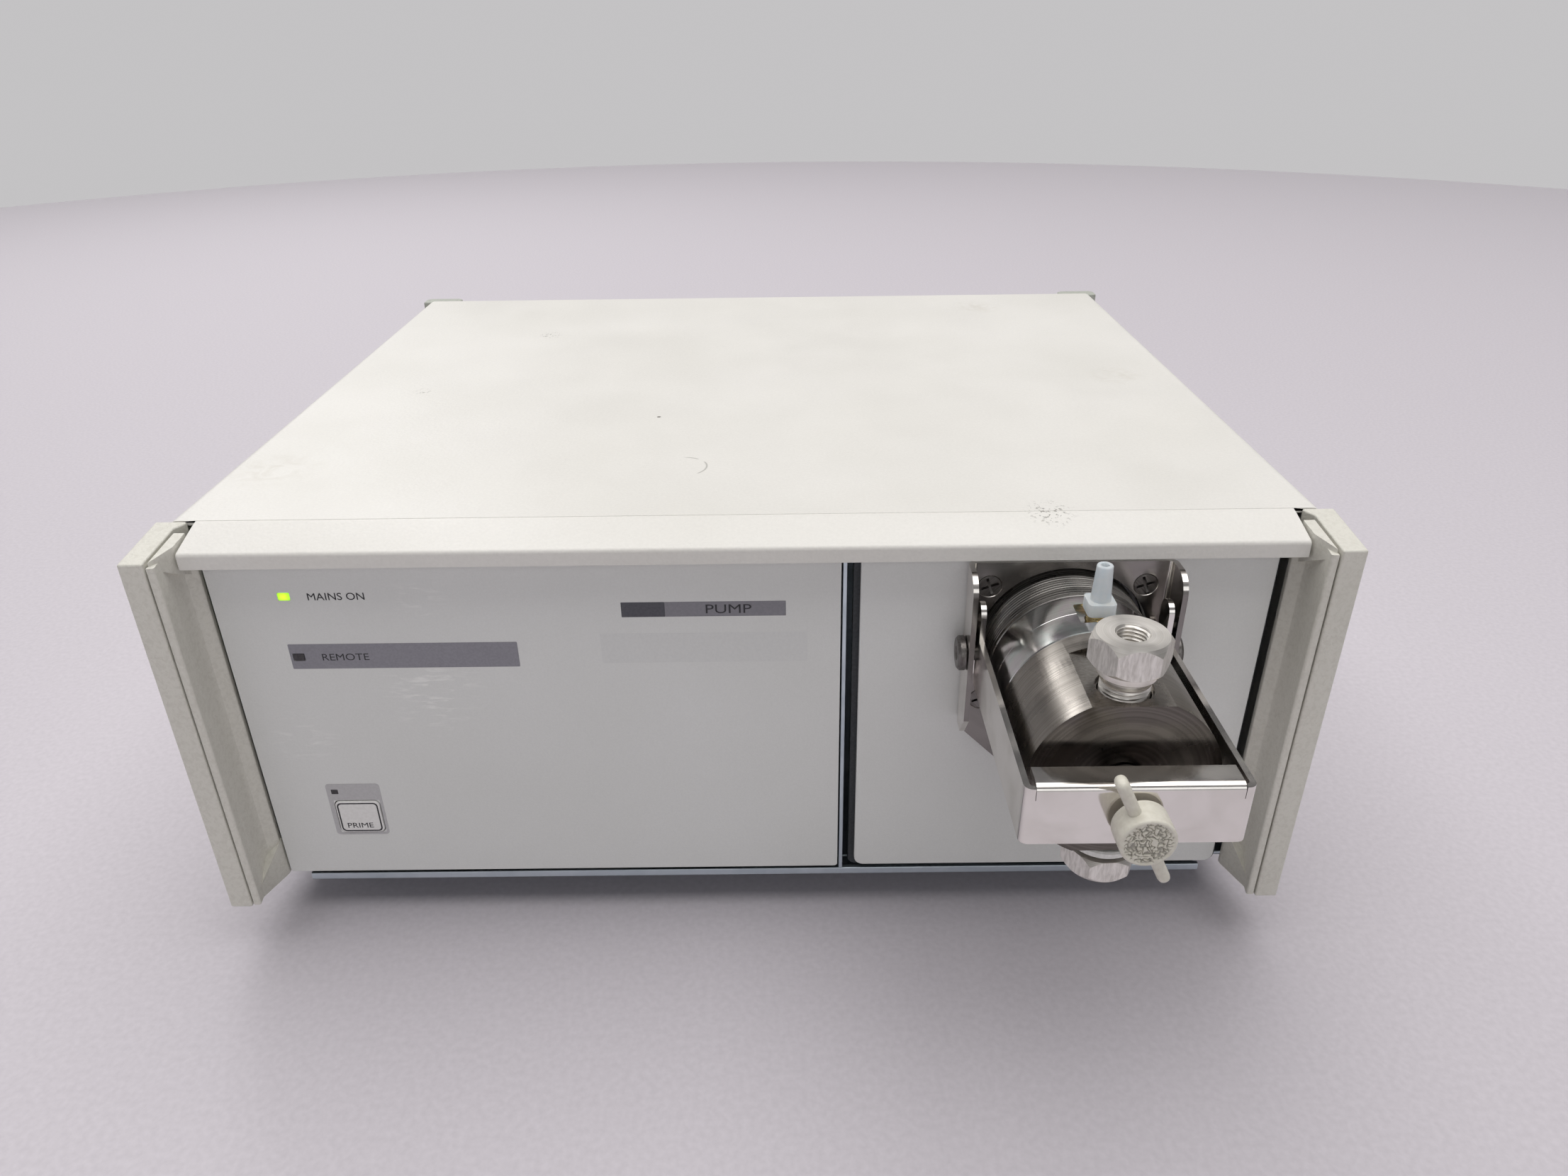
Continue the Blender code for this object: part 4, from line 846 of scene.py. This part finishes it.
def build_key():
    x, z = (KEY.x0, KEY.x1), (KEY.z0, KEY.z1)
    key = Piece("key_cap", prism(rounded(x, z, 1.6), "Y", KEY.y0, KEY.y1))
    key.done("key_white", "prime_key", stands_for=("prime_key",), soften=0.35, steps=3)
    rim = Piece("key_rim", prism(rounded((x[0] + 0.5, x[1] - 0.5), (z[0] + 0.5, z[1] - 0.5), 1.4), "Y",
                                 KEY.y0 - 0.03, KEY.y0 + 0.1))
    rim.cut(prism(rounded((x[0] + 0.95, x[1] - 0.95), (z[0] + 0.95, z[1] - 0.95), 1.1), "Y", KEY.y0 - 1,
                  KEY.y0 + 1))
    rim.done("ink_dark", "prime_key")
    lettering("words_prime", "PRIME", KEY.x0 + 2.3, KEY.z0 + 1.9, 2.0, "ink_dark", "prime_key", 0.03,
              KEY.y0, 1.12)


def build_lens(node, look):
    led = span(node)
    body = Piece(f"{node}_lens", prism(rounded((led.x0, led.x1), (led.z0, led.z1), 0.3, 4), "Y", led.y0,
                                       led.y1))
    body.done(look, stands_for=(node,), soften=0.15)


def build_fascia():
    outline = rounded((FASCIA.x0, FASCIA.x1), (FASCIA.z0, FASCIA.z1), 3.0)
    plate = Piece("fascia_plate", prism(outline, "Y", FASCIA.y0, FASCIA.y1))
    plate.cut(rod(HEAD_RADIUS + 1, "Y", (HEAD_X, 0, HEAD_Z), FASCIA.y0 - 2, FASCIA.y1 + 2, 96))
    for x, z in SCREW_PLACES:
        plate.cut(rod(1.95, "Y", (x, 0, z), FASCIA.y0 - 2, FASCIA.y1 + 2, 24))
    plate.done("paint_panel", stands_for=("pump_fascia",), soften=0.35, steps=3)


# ---- bracket and clamp ----

# faces that face the front get the darker painted-shade copies of nickel and titanium
def facing_front(polygon):
    return polygon.normal.y < -0.9


def build_bracket():
    left, right, top, bottom = BRACKET.x0, BRACKET.x1, BRACKET.z1, 77.0
    front, face, back = BRACKET.y0, 13.0, 14.7
    bend, inside = 2.6, 1.1
    outline = ([(left, front), (left + SHEET, front)]
               + arc(left + SHEET + inside, face - inside, inside, 180, 90, 5)
               + arc(right - SHEET - inside, face - inside, inside, 90, 0, 5)
               + [(right - SHEET, front), (right, front)] + arc(right - bend, back - bend, bend, 0, 90, 6)
               + arc(left + bend, back - bend, bend, 90, 180, 6))
    bracket = Piece("bracket_plate", prism(outline, "Z", bottom, top))
    tab = [(64.6, 78.5), (64.6, 73.0), (74.5, BRACKET.z0), (107.5, BRACKET.z0), (117.4, 73.0),
           (117.4, 78.5)]
    bracket.join(prism(tab, "Y", face + 0.02, back - 0.02))
    corner = arc(8.0, top - 6, 6, 90, 180) + [(0.5, top - 6), (0.5, top + 1), (8.0, top + 1)]
    bracket.cut(prism(corner, "X", left - 3, right + 3))
    bevel = [(0.5, bottom - 1), (8.0, bottom - 1), (0.5, bottom + 9)]
    bracket.cut(prism(bevel, "X", left - 3, right + 3))
    bracket.cut(rod(24.6, "Y", (HEAD_X, 0, HEAD_Z), face - 3, back + 3, 96))
    for x, z in SCREW_PLACES:
        sink = [(0, face - 0.5), (3.75, face - 0.5), (3.45, face + 0.1), (1.9, face + 1.9),
                (1.9, back + 1), (0, back + 1)]
        bracket.cut(turned(sink, "Y", (x, 0, z), 32))
    bracket.cut(rod(PIN_RADIUS + GAP, "X", (0, PIN_Y, PIN_Z), left - 3, right + 3, 32))
    # the front faces get the darker painted-shade copy of nickel plate
    bracket.done("nickel_plate", stands_for=("head_bracket",), soften=0.18,
                 faces=("nickel_painted_shade", facing_front))
    for number, (x, z) in enumerate(SCREW_PLACES, 1):
        cross_screw(f"cross_screw_{number}", (x, face + 0.05, z), (0, -1, 0), 3.25, 1, "screw_steel",
                    13.8, True,
                    stands_for=(f"bracket_screw_{number}",))
    for label, side in (("left", -1), ("right", 1)):
        pin = span(f"pivot_pin_{label}")
        inner, outer = (pin.x1, pin.x0) if side < 0 else (pin.x0, pin.x1)
        shoulder = outer - side * 2.2
        profile = [(0, inner), (PIN_RADIUS - 0.3, inner), (PIN_RADIUS, inner + side * 0.3),
                   (PIN_RADIUS, shoulder),
                   (5.0, shoulder), (5.0, outer - side * 0.7), (4.3, outer), (2.2, outer),
                   (1.8, outer - side * 0.5),
                   (0, outer - side * 0.5)]
        Piece(f"pin_{label}", turned(profile, "X", (0, PIN_Y, PIN_Z), 48)).done(
            "screw_steel", stands_for=(f"pivot_pin_{label}",), soften=0.12)


def build_yoke():
    """A U of nickelled strip: two hooked arms, bent corners, a bridge folded back at its top."""
    left, right, front, end = YOKE.x0, YOKE.x1, YOKE.y0, YOKE.y1
    bottom, top = 95.0, 111.0
    bend, inside = 2.2, 0.7
    rear = front + bend + 0.6
    outline = (arc(left + bend, front + bend, bend, 180, 270, 6) + arc(right - bend, front + bend, bend,
                                                                       270, 360, 6)
               + [(right, rear), (right - SHEET, rear)]
               + arc(right - SHEET - inside, front + SHEET + inside, inside, 0, -90, 4)
               + arc(left + SHEET + inside, front + SHEET + inside, inside, 270, 180, 4)
               + [(left + SHEET, rear), (left, rear)])
    yoke = Piece("yoke_strip", prism(outline, "Z", bottom, top - 0.2))
    yoke.cut(box((left + 2.6, right - 2.6), (front - 2, front + 4), (top - 3.4, top + 1)))
    fold, flange_top, flange_end = 1.9, 111.4, -55.0
    profile = ([(front, bottom + 0.05), (front + SHEET, bottom + 0.05), (front + SHEET, flange_top - 2.2)]
               + arc(front + 2.2, flange_top - 2.2, 0.7, 180, 90, 4) + [(flange_end, flange_top - 1.4),
                                                                      (flange_end, flange_top)]
               + arc(front + fold, flange_top - fold, fold, 90, 180, 7))
    yoke.join(prism(profile, "X", left + 2.75, right - 2.75))
    half = PIN_RADIUS + GAP
    hook = ([(PIN_Y - half, bottom)] + arc(PIN_Y, PIN_Z, half, 180, 0, 12) + [(PIN_Y + half, bottom)])
    ear = [(7.9, top), (7.9, 118.5)] + arc(4.45, 118.5, 3.45, 0, 180, 12) + [(1.0, top)]
    arm = ([(rear - 0.05, bottom)] + hook + [(end, bottom)] + arc(end - 2, top - 2, 2, 0, 90, 5) + ear
           + [(rear - 0.05, top - 0.2)])
    yoke.join(prism(arm, "X", left + 0.01, left + SHEET - 0.01))
    yoke.join(prism(arm, "X", right - SHEET + 0.01, right - 0.01))
    boss = [(0, front + 0.4), (5.2, front + 0.4), (5.5, front + 1), (5.5, -59.1), (5.2, -58.8), (0, -58.8)]
    yoke.join(turned(boss, "Y", (HEAD_X, 0, CLAMP_Z), 48))
    yoke.cut(rod(3.3, "Y", (HEAD_X, 0, CLAMP_Z), front - 3, -55, 48))
    yoke.cut(turned([(0, front - 1), (4.6, front - 1), (3.2, front + 1.2), (0, front + 1.2)], "Y",
                    (HEAD_X, 0, CLAMP_Z), 48))
    yoke.done("nickel_plate", "yoke", stands_for=("clamp_yoke",), soften=0.18)


def build_clamp():
    centre = (HEAD_X, 0, CLAMP_Z)
    back, front = PAD.y1, PAD.y0
    profile = [(0, front), (4.0, front), (4.0, front + 1.1), (5.3, front + 1.5), (6.0, front + 2.0),
               (6.0, back - 0.3), (5.7, back), (0, back)]
    Piece("pad_disc", turned(profile, "Y", centre)).done("screw_steel", "pad",
                                                         ("thrust_pad",), 0.12)
    screw = span("clamp_screw")
    Piece("thumb_screw", threaded(3.0, 0.45, 1.25, "Y", centre, screw.y0, screw.y1)).done(
        "screw_steel", "knob", ("clamp_screw",), angle=50)
    build_knob(centre)


def build_knob(centre):
    """Thumb knob: a cup with a wrinkled face and two rounded wings."""
    front, back, radius = KNOB.y0, KNOB.y1, 6.5
    rim = 0.75
    rings, sunk = 30, 0.55
    face = [((radius - rim - 0.35) * k / rings, front + sunk) for k in range(rings + 1)]
    profile = (face + [(radius - rim, front + 0.05), (radius - rim + 0.2, front)]
               + arc(radius - 0.6, front + 0.6, 0.6, 270, 360, 4)
               + [(radius + 0.02, front + 3), (radius, back - 0.3), (radius - 0.3, back), (0, back)])

    def wrinkled(r, along, angle):
        if along != front + sunk:
            return r, along
        spot = Vector((r * math.cos(angle), r * math.sin(angle), 0))
        bend = Vector((noise.noise(spot * 0.8), noise.noise(spot * 0.8 + Vector((9, 2, 5))), 0))
        fold = abs(noise.noise(spot * 1.15 + bend * 0.9))
        return r, along - 0.5 * min(1.0, fold * 4.0)

    knob = Piece("knob_cup", turned(profile, "Y", centre, 128, wrinkled))
    lean = math.pi / 2 + WING_TILT
    long, wide = 16.0, 1.5
    bar = arc(long - wide, 0, wide, -90, 90, 8) + arc(wide - long, 0, wide, 90, 270, 8)
    bar = [(centre[0] + a * math.cos(lean) - b * math.sin(lean),
            centre[2] + a * math.sin(lean) + b * math.cos(lean)) for a, b in bar]
    wings = Piece("wings", prism(bar, "Y", back - 5.0, back - 0.4))
    bevel = wings.obj.modifiers.new("round", "BEVEL")
    bevel.width, bevel.segments, bevel.limit_method = 1.4 * MM, 3, "ANGLE"
    wings.evaluate()
    modifier = knob.obj.modifiers.new("wings", "BOOLEAN")
    modifier.operation = "UNION"
    modifier.object = wings.obj
    knob.tools.append(wings.obj)
    knob.cut(rod(3.3, "Y", centre, front + 2.2, back + 4, 48))
    knob.done("plastic_knob", "knob", stands_for=("clamp_knob",), angle=42)


# ---- pump head ----

def build_head():
    axis = (HEAD_X, 0, HEAD_Z)
    outer = HEAD_RADIUS
    front, back = RING.y0, RING.y1
    profile = [(3.0, front), (outer - 0.25, front), (outer, front + 0.25)]
    for k in range(9):
        y = front + 1.6 + 1.15 * k
        profile += [(outer, y), (outer - 0.16, y + 0.1), (outer - 0.16, y + 0.42), (outer, y + 0.52)]
    profile += [(outer, back), (12.6, back), (12.6, 4.0), (3.0, 4.0)]
    Piece("ring_turned", turned(profile, "Y", axis, 128)).done("stainless", stands_for=("head_rear_ring",),
                                                               angle=25)
    build_rinse_ring(axis, outer)
    build_head_body(axis)


def build_rinse_ring(axis, outer):
    front, back = RINSE.y0, RINSE.y1
    middle = (front + back) / 2
    profile = [(2.8, front), (outer - 0.3, front), (outer, front + 0.3), (outer, middle - 0.5),
               (outer - 0.05, middle - 0.4), (outer - 0.05, middle + 0.4), (outer, middle + 0.5),
               (outer, back - 0.3), (outer - 0.3, back), (2.8, back)]
    x, y = (LUER.x0 + LUER.x1) / 2, (LUER.y0 + LUER.y1) / 2
    ring = Piece("ring_rinse", turned(profile, "Y", axis, 128))
    ring.cut(prism(rounded((x - 5.6, x + 5.0), (y - 4.9, y + 4.9), 0.6), "Z", HEAD_Z + 21.4, HEAD_Z + 26))
    ring.cut(rod(3.4, "Z", (x, y, 0), HEAD_Z + 17, HEAD_Z + 25))
    ring.done("rinse_steel", stands_for=("rinse_ring",), angle=25)
    Piece("luer_thread", threaded(3.25, 0.35, 0.7, "Z", (x, y, 0), HEAD_Z + 17.5, LUER.z0 + 9.1, 40)).done(
        "brass", angle=50)
    build_luer(x, y)


def build_luer(x, y):
    half = 3.6
    base, shoulder = 126.9, 130.4
    fitting = Piece("luer_body", prism(rounded((x - half, x + half), (y - half, y + half), 1.2), "Z",
                                       base, shoulder))
    stem = ([(0, LUER.z0), (2.2, LUER.z0), (2.2, base + 0.6), (2.6, shoulder - 0.4), (2.6, shoulder + 0.6),
             (2.1, LUER.z1 - 0.3), (1.9, LUER.z1), (0, LUER.z1)])
    fitting.join(turned(stem, "Z", (x, y, 0), 48))
    fitting.cut(rod(0.95, "Z", (x, y, 0), LUER.z0 - 2, LUER.z1 + 2, 32))
    fitting.cut(turned([(0, LUER.z1 - 1.2), (0.9, LUER.z1 - 1.2), (1.35, LUER.z1 + 1), (0, LUER.z1 + 1)],
                       "Z",
                       (x, y, 0), 32))
    fitting.done("plastic_milky", stands_for=("luer_fitting",), soften=0.3, steps=3)


def build_head_body(axis):
    front, back, outer = BODY.y0, BODY.y1, HEAD_RADIUS
    flat = math.degrees(math.asin(FLAT / outer))
    outline = arc(HEAD_X, HEAD_Z, outer, -flat, flat, 40) + arc(HEAD_X, HEAD_Z, outer, 180 - flat,
                                                                180 + flat, 40)
    body = Piece("liquid_end", prism(outline, "Y", front, FLAT_BACK))
    body.join(rod(outer, "Y", axis, FLAT_BACK - 0.01, back, 128))
    body.cut(rod(2.8, "Y", axis, -46.0, -15.0, 32))
    body.cut(rod(6.2, "Y", axis, -23.6, -15.0, 32))
    for sign in (1, -1):
        pocket = ((0, 0), (1.2, 0), (1.2, 9.0), (6.4, 9.0), (6.4, 20.1), (6.9, 20.1), (6.9, 30.0),
                  (0, 30.0))
        body.cut(turned([(r, HEAD_Z + sign * d) for r, d in pocket], "Z", (HEAD_X, VALVE_Y, 0), 48))
    # the front faces get the darker painted-shade copy of titanium
    body.done("titanium", stands_for=("head_body",), soften=0.3, steps=2, angle=25,
              faces=("titanium_painted_shade", facing_front))


def build_valve(name, node, sign, thread_end, hex_near, hex_far):
    """A check-valve body: threaded neck, collar, chamfered hexagon and a threaded port."""
    def z(distance):
        return HEAD_Z + sign * distance

    centre = (HEAD_X, VALVE_Y, 0)
    corner, turn = HEX_FLATS / math.sqrt(3), -3 * sign
    neck = [(0, z(9.4)), (5.4, z(9.4)), (6.0, z(10.0)), (6.0, z(17.5)), (5.6, z(18.0)), (5.2, z(18.4)),
            (5.2, z(hex_near + 1)), (0, z(hex_near + 1))]
    body = Piece(name, turned(neck, "Z", centre, 64))
    body.join(threaded(6.05, 0.5, 1.1, "Z", centre, z(17.8), z(thread_end), 64))
    if sign > 0:
        collar = [(0, z(25.2)), (6.6, z(25.2)), (7.0, z(25.6)), (7.0, z(27.4)), (6.5, z(27.8)),
                  (6.5, z(hex_near + 0.5)), (0, z(hex_near + 0.5))]
        body.join(turned(collar, "Z", centre, 64))
    body.join(prism(arc(HEAD_X, VALVE_Y, corner, turn, turn + 300, 5), "Z", z(hex_near), z(hex_far)))
    for edge, radius, drop, away in ((hex_far, 8.35, -1.30, 1), (hex_near, 8.6, 1.15, -1)):
        wide = 12.5
        crown = [(radius, z(edge)), (wide, z(edge + drop * (wide - radius))), (wide, z(edge + away)),
                 (radius - abs(1 / drop), z(edge + away))]
        body.cut(turned(crown, "Z", centre, 96))
    port = hex_far - 9.0
    seat = 11.0 if sign > 0 else 12.0
    bore = ((0, 8.0), (0.9, 8.0), (0.9, seat), (2.4, seat), (2.4, seat + 5), (1.0, seat + 5),
            (1.0, port + 1),
            (0, port + 1))
    body.cut(turned([(r, z(d)) for r, d in bore], "Z", centre, 32))
    body.cut(threaded(4.0, 0.55, 1.0, "Z", centre, z(port), z(hex_far + 1.5), 56))
    body.cut(turned([(0, z(hex_far + 0.5)), (4.5, z(hex_far + 0.5)), (3.6, z(hex_far - 0.6)),
                     (0, z(hex_far - 0.6))],
                    "Z", centre, 64))

    def side_face(polygon):
        middle = polygon.center
        out = math.hypot(middle.x / MM - HEAD_X, (middle.y - FRONT_FACE) / MM - VALVE_Y)
        return abs(polygon.normal.z) < 0.3 and out > 8.2

    body.done("valve_metal", stands_for=(node,), soften=0.12, angle=30,
              faces=("valve_faces", side_face))


def build_washer():
    inner, outer = 6.5, (WASHER.x1 - WASHER.x0) / 2
    low, high = WASHER.z0, WASHER.z1
    profile = [(inner, low), (outer - 0.4, low), (outer, low + 0.4), (outer, high - 0.4),
               (outer - 0.4, high),
               (inner, high)]
    Piece("washer_ring", turned(profile, "Z", (HEAD_X, VALVE_Y, 0), 64)).done(
        "polymer_white", stands_for=("inlet_washer",))


# ---- drive ----

def build_spring():
    """The return spring: a coil of round wire along the head's axis."""
    spring = span("return_spring")
    turns, steps, sides, wire = 5, 32, 12, 1.1
    mean = (spring.x1 - spring.x0) / 2 - wire
    low, high = spring.y0 + wire, spring.y1 - wire
    mesh = bmesh.new()
    rings = []
    for k in range(turns * steps + 1):
        angle = 2 * math.pi * k / steps
        along = low + (high - low) * k / (turns * steps)
        section = []
        for phi in (2 * math.pi * n / sides for n in range(sides)):
            radius = mean + wire * math.cos(phi)
            section.append(mesh.verts.new((HEAD_X + radius * math.cos(angle), along + wire * math.sin(phi),
                                           HEAD_Z + radius * math.sin(angle))))
        rings.append(section)
    for first, second in zip(rings, rings[1:]):
        for n in range(sides):
            m = (n + 1) % sides
            mesh.faces.new((first[n], first[m], second[m], second[n]))
    mesh.faces.new(rings[0])
    mesh.faces.new(rings[-1])
    coil = Piece("spring_coil", mesh).done("screw_steel", stands_for=("return_spring",))
    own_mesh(coil)


# ---- rear ----

def build_rear():
    number = 1
    for x in (-150.0, -70.0, 10.0, 150.0):
        for z in (24.0, 132.0):
            if abs(x) > 147:
                x = math.copysign(140.0, x)
            cross_screw(f"rear_screw_{number}", (x, REAR.y1 + 1.5, z), (0, 1, 0), 2.8, 1.4, "zinc_plate",
                        4.0)
            number += 1
    middle_x, middle_z = (MAINS.x0 + MAINS.x1) / 2, (MAINS.z0 + MAINS.z1) / 2
    face = REAR.y1 + GAP
    for label, x, z in (("left", -6.5, -2.5), ("middle", 0.0, 3.0), ("right", 6.5, -2.5)):
        blade = prism(rounded((middle_x + x - 1.08, middle_x + x + 1.08),
                              (middle_z + z - 2.1, middle_z + z + 2.1),
                              0.5, 3), "Y", face - 14.5, face - 1.9)
        Piece(f"inlet_blade_{label}", blade).done("brass", soften=0.25)
    signal_x, signal_z = (SIGNAL.x0 + SIGNAL.x1) / 2, (SIGNAL.z0 + SIGNAL.z1) / 2
    rows = ((13, 1.5), (12, -1.4))
    for row, (count, z) in enumerate(rows):
        for k in range(count):
            x = signal_x + (k - (count - 1) / 2) * 2.6
            pin = [(0, face - 2.0), (0.5, face - 2.0), (0.5, face + 4.0), (0.3, face + 4.6),
                   (0, face + 4.6)]
            Piece(f"signal_pin_{row + 1}_{k + 1}", turned(pin, "Y", (x, 0, signal_z + z), 12)).done(
                "brass")
    for label, side in (("left", -1), ("right", 1)):
        x = signal_x + side * 23.0
        outline = [(x + a, signal_z + b) for a, b in arc(0, 0, 2.8, 30, 330, 5)]
        post = Piece(f"jack_post_{label}", prism(outline, "Y", face + 1.0, face + 5.6))
        post.cut(threaded(1.5, 0.25, 0.6, "Y", (x, 0, signal_z), face + 1.6, face + 7, 24))
        post.done("zinc_plate", soften=0.2)


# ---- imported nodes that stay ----

STAYING = {
    "chassis_tray": 0.3, "divider_wall": 0.2, "rear_panel": 0.25, "pump_backplate": 0.3, "outlet_ball": 0,
    "inlet_ball": 0, "piston": 0.2, "piston_seal": 0.2, "drive_casting": 0.6, "cam_bearing_left": 0.15,
    "cam_bearing_right": 0.15, "camshaft": 0.2, "cam_pulley": 0.2, "crosshead": 0.3,
           "follower_roller": 0.3,
    "stepper_motor": 0.5, "motor_shaft": 0.2, "motor_pulley": 0.2, "timing_belt": 0.2,
    "main_board": 0.15, "transformer": 0.6, "mains_inlet": 0.4, "fuse_drawer": 0.35, "power_rocker": 0.6,
    "signal_connector": 0.25,
}


def dress_nodes():
    """Better materials and softened edges on the nodes that stay as packed."""
    for name, soften in STAYING.items():
        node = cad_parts[name]
        for place in node.material_slots:
            place.material = LOOKS[place.material.name.split(".")[0]]
        weld = node.modifiers.new("weld", "WELD")
        weld.merge_threshold = 0.00001
        if soften:
            bevel = node.modifiers.new("soften", "BEVEL")
            bevel.width = soften * MM
            bevel.segments = 2
            bevel.limit_method = "ANGLE"
            bevel.angle_limit = math.radians(28)
        node.data.shade_smooth()
        node.modifiers.new("flat_shading", "WEIGHTED_NORMAL").keep_sharp = True


# ---- stage ----

def build_stage():
    """A plain pale round floor whose painted glow grows towards its rim, so it fades into the pale
    surroundings.
    """
    reach, sides = 1.9, 96
    mesh = bpy.data.meshes.new("floor")
    turn = 2 * math.pi / sides
    rim = [(reach * math.cos(turn * k), reach * math.sin(turn * k), 0.0) for k in range(sides)]
    mesh.from_pydata(rim, [], [tuple(range(sides))])
    floor = bpy.data.objects.new("floor", mesh)
    bpy.context.scene.collection.objects.link(floor)
    look = Look("pale_floor", 0.75)
    look.colour(look.ramp(look.noise(2.0, 3), (0.3, shade(192, 187, 193)), (0.7, shade(200, 195, 201))))
    far = look.add("ShaderNodeVectorMath", operation="LENGTH")
    look.link(look.where, far.inputs[0])
    # painted light: a faint glow that grows towards the floor's rim
    rim_glow = look.ramp(look.math("DIVIDE", far.outputs["Value"], reach), (0.35, 0.0), (1.0, 0.04))
    look.link(rim_glow, look.shader.inputs["Emission Color"])
    look.shader.inputs["Emission Strength"].default_value = 1.0
    look.bump((look.noise(1.8, 2), 0.05))
    mesh.materials.append(look.material)


def area_light(name, place, target, width, depth, power, colour=(1, 1, 1)):
    data = bpy.data.lights.new(name, "AREA")
    data.shape = "RECTANGLE"
    data.size, data.size_y = width, depth
    data.energy = power
    data.color = colour
    light = bpy.data.objects.new(name, data)
    light.location = place
    light.rotation_euler = (Vector(target) - Vector(place)).to_track_quat("-Z", "Y").to_euler()
    bpy.context.scene.collection.objects.link(light)


def build_lights():
    middle = (0, 0, 0.08)
    area_light("ceiling", (0.0, 0.25, 2.4), middle, 3.4, 3.2, 75, (1.0, 0.985, 0.975))
    area_light("back_left", (-0.75, 1.25, 1.15), middle, 0.4, 0.9, 4)
    area_light("front_fill", (0.4, -1.8, 0.9), middle, 1.6, 0.8, 4)
    world = bpy.data.worlds.new("studio")
    bpy.context.scene.world = world
    world.use_nodes = True
    tree = world.node_tree
    place = tree.nodes.new("ShaderNodeTexCoord")
    parts = tree.nodes.new("ShaderNodeSeparateXYZ")
    ramp = tree.nodes.new("ShaderNodeValToRGB")
    tree.links.new(place.outputs["Generated"], parts.inputs[0])
    tree.links.new(parts.outputs["Z"], ramp.inputs["Fac"])
    stops = ((0.02, 0.55), (0.16, 0.38), (0.40, 0.14), (0.60, 0.10), (0.85, 0.35))
    while len(ramp.color_ramp.elements) < len(stops):
        ramp.color_ramp.elements.new(0.5)
    for element, (height, level) in zip(ramp.color_ramp.elements, stops):
        element.position = height
        element.color = (level, level * 0.985, level, 1)
    back = tree.nodes["Background"]
    tree.links.new(ramp.outputs["Color"], back.inputs["Color"])
    back.inputs["Strength"].default_value = 1.0
    bpy.context.scene.view_settings.view_transform = "Standard"


def build_camera():
    """The photograph's angle: the camera looks down at the front from just over the object."""
    pitch, roll, yaw = math.radians(28.14), math.radians(-0.75), math.radians(0.19)
    data = bpy.data.cameras.new("camera")
    data.sensor_width = 36.0
    data.lens = 24.905
    data.clip_start, data.clip_end = 0.01, 50
    camera = bpy.data.objects.new("camera", data)
    right = Vector((math.cos(yaw), math.sin(yaw), 0))
    ahead = Vector((-math.sin(yaw), math.cos(yaw), 0))
    up = Vector((0, 0, 1))
    look_out = math.cos(pitch) * ahead - math.sin(pitch) * up
    look_up = math.cos(pitch) * up + math.sin(pitch) * ahead
    side = math.cos(roll) * right + math.sin(roll) * look_up
    top = -math.sin(roll) * right + math.cos(roll) * look_up
    turn = Matrix((side, top, -look_out)).transposed().to_4x4()
    camera.matrix_world = Matrix.Translation((0.01192, -0.36387, 0.26599)) @ turn
    bpy.context.scene.collection.objects.link(camera)
    bpy.context.scene.camera = camera


LOOKS = make_looks()
build_camera()
build_stage()
build_lights()
build_cover()
build_posts()
build_feet()
build_control_panel()
build_fascia()
build_bracket()
build_yoke()
build_clamp()
build_head()
build_valve("valve_outlet", "outlet_valve", 1, 23.7, 28.0, 36.0)
build_valve("valve_inlet", "inlet_valve", -1, 20.4, 25.5, 32.0)
build_washer()
build_spring()
build_rear()
dress_nodes()
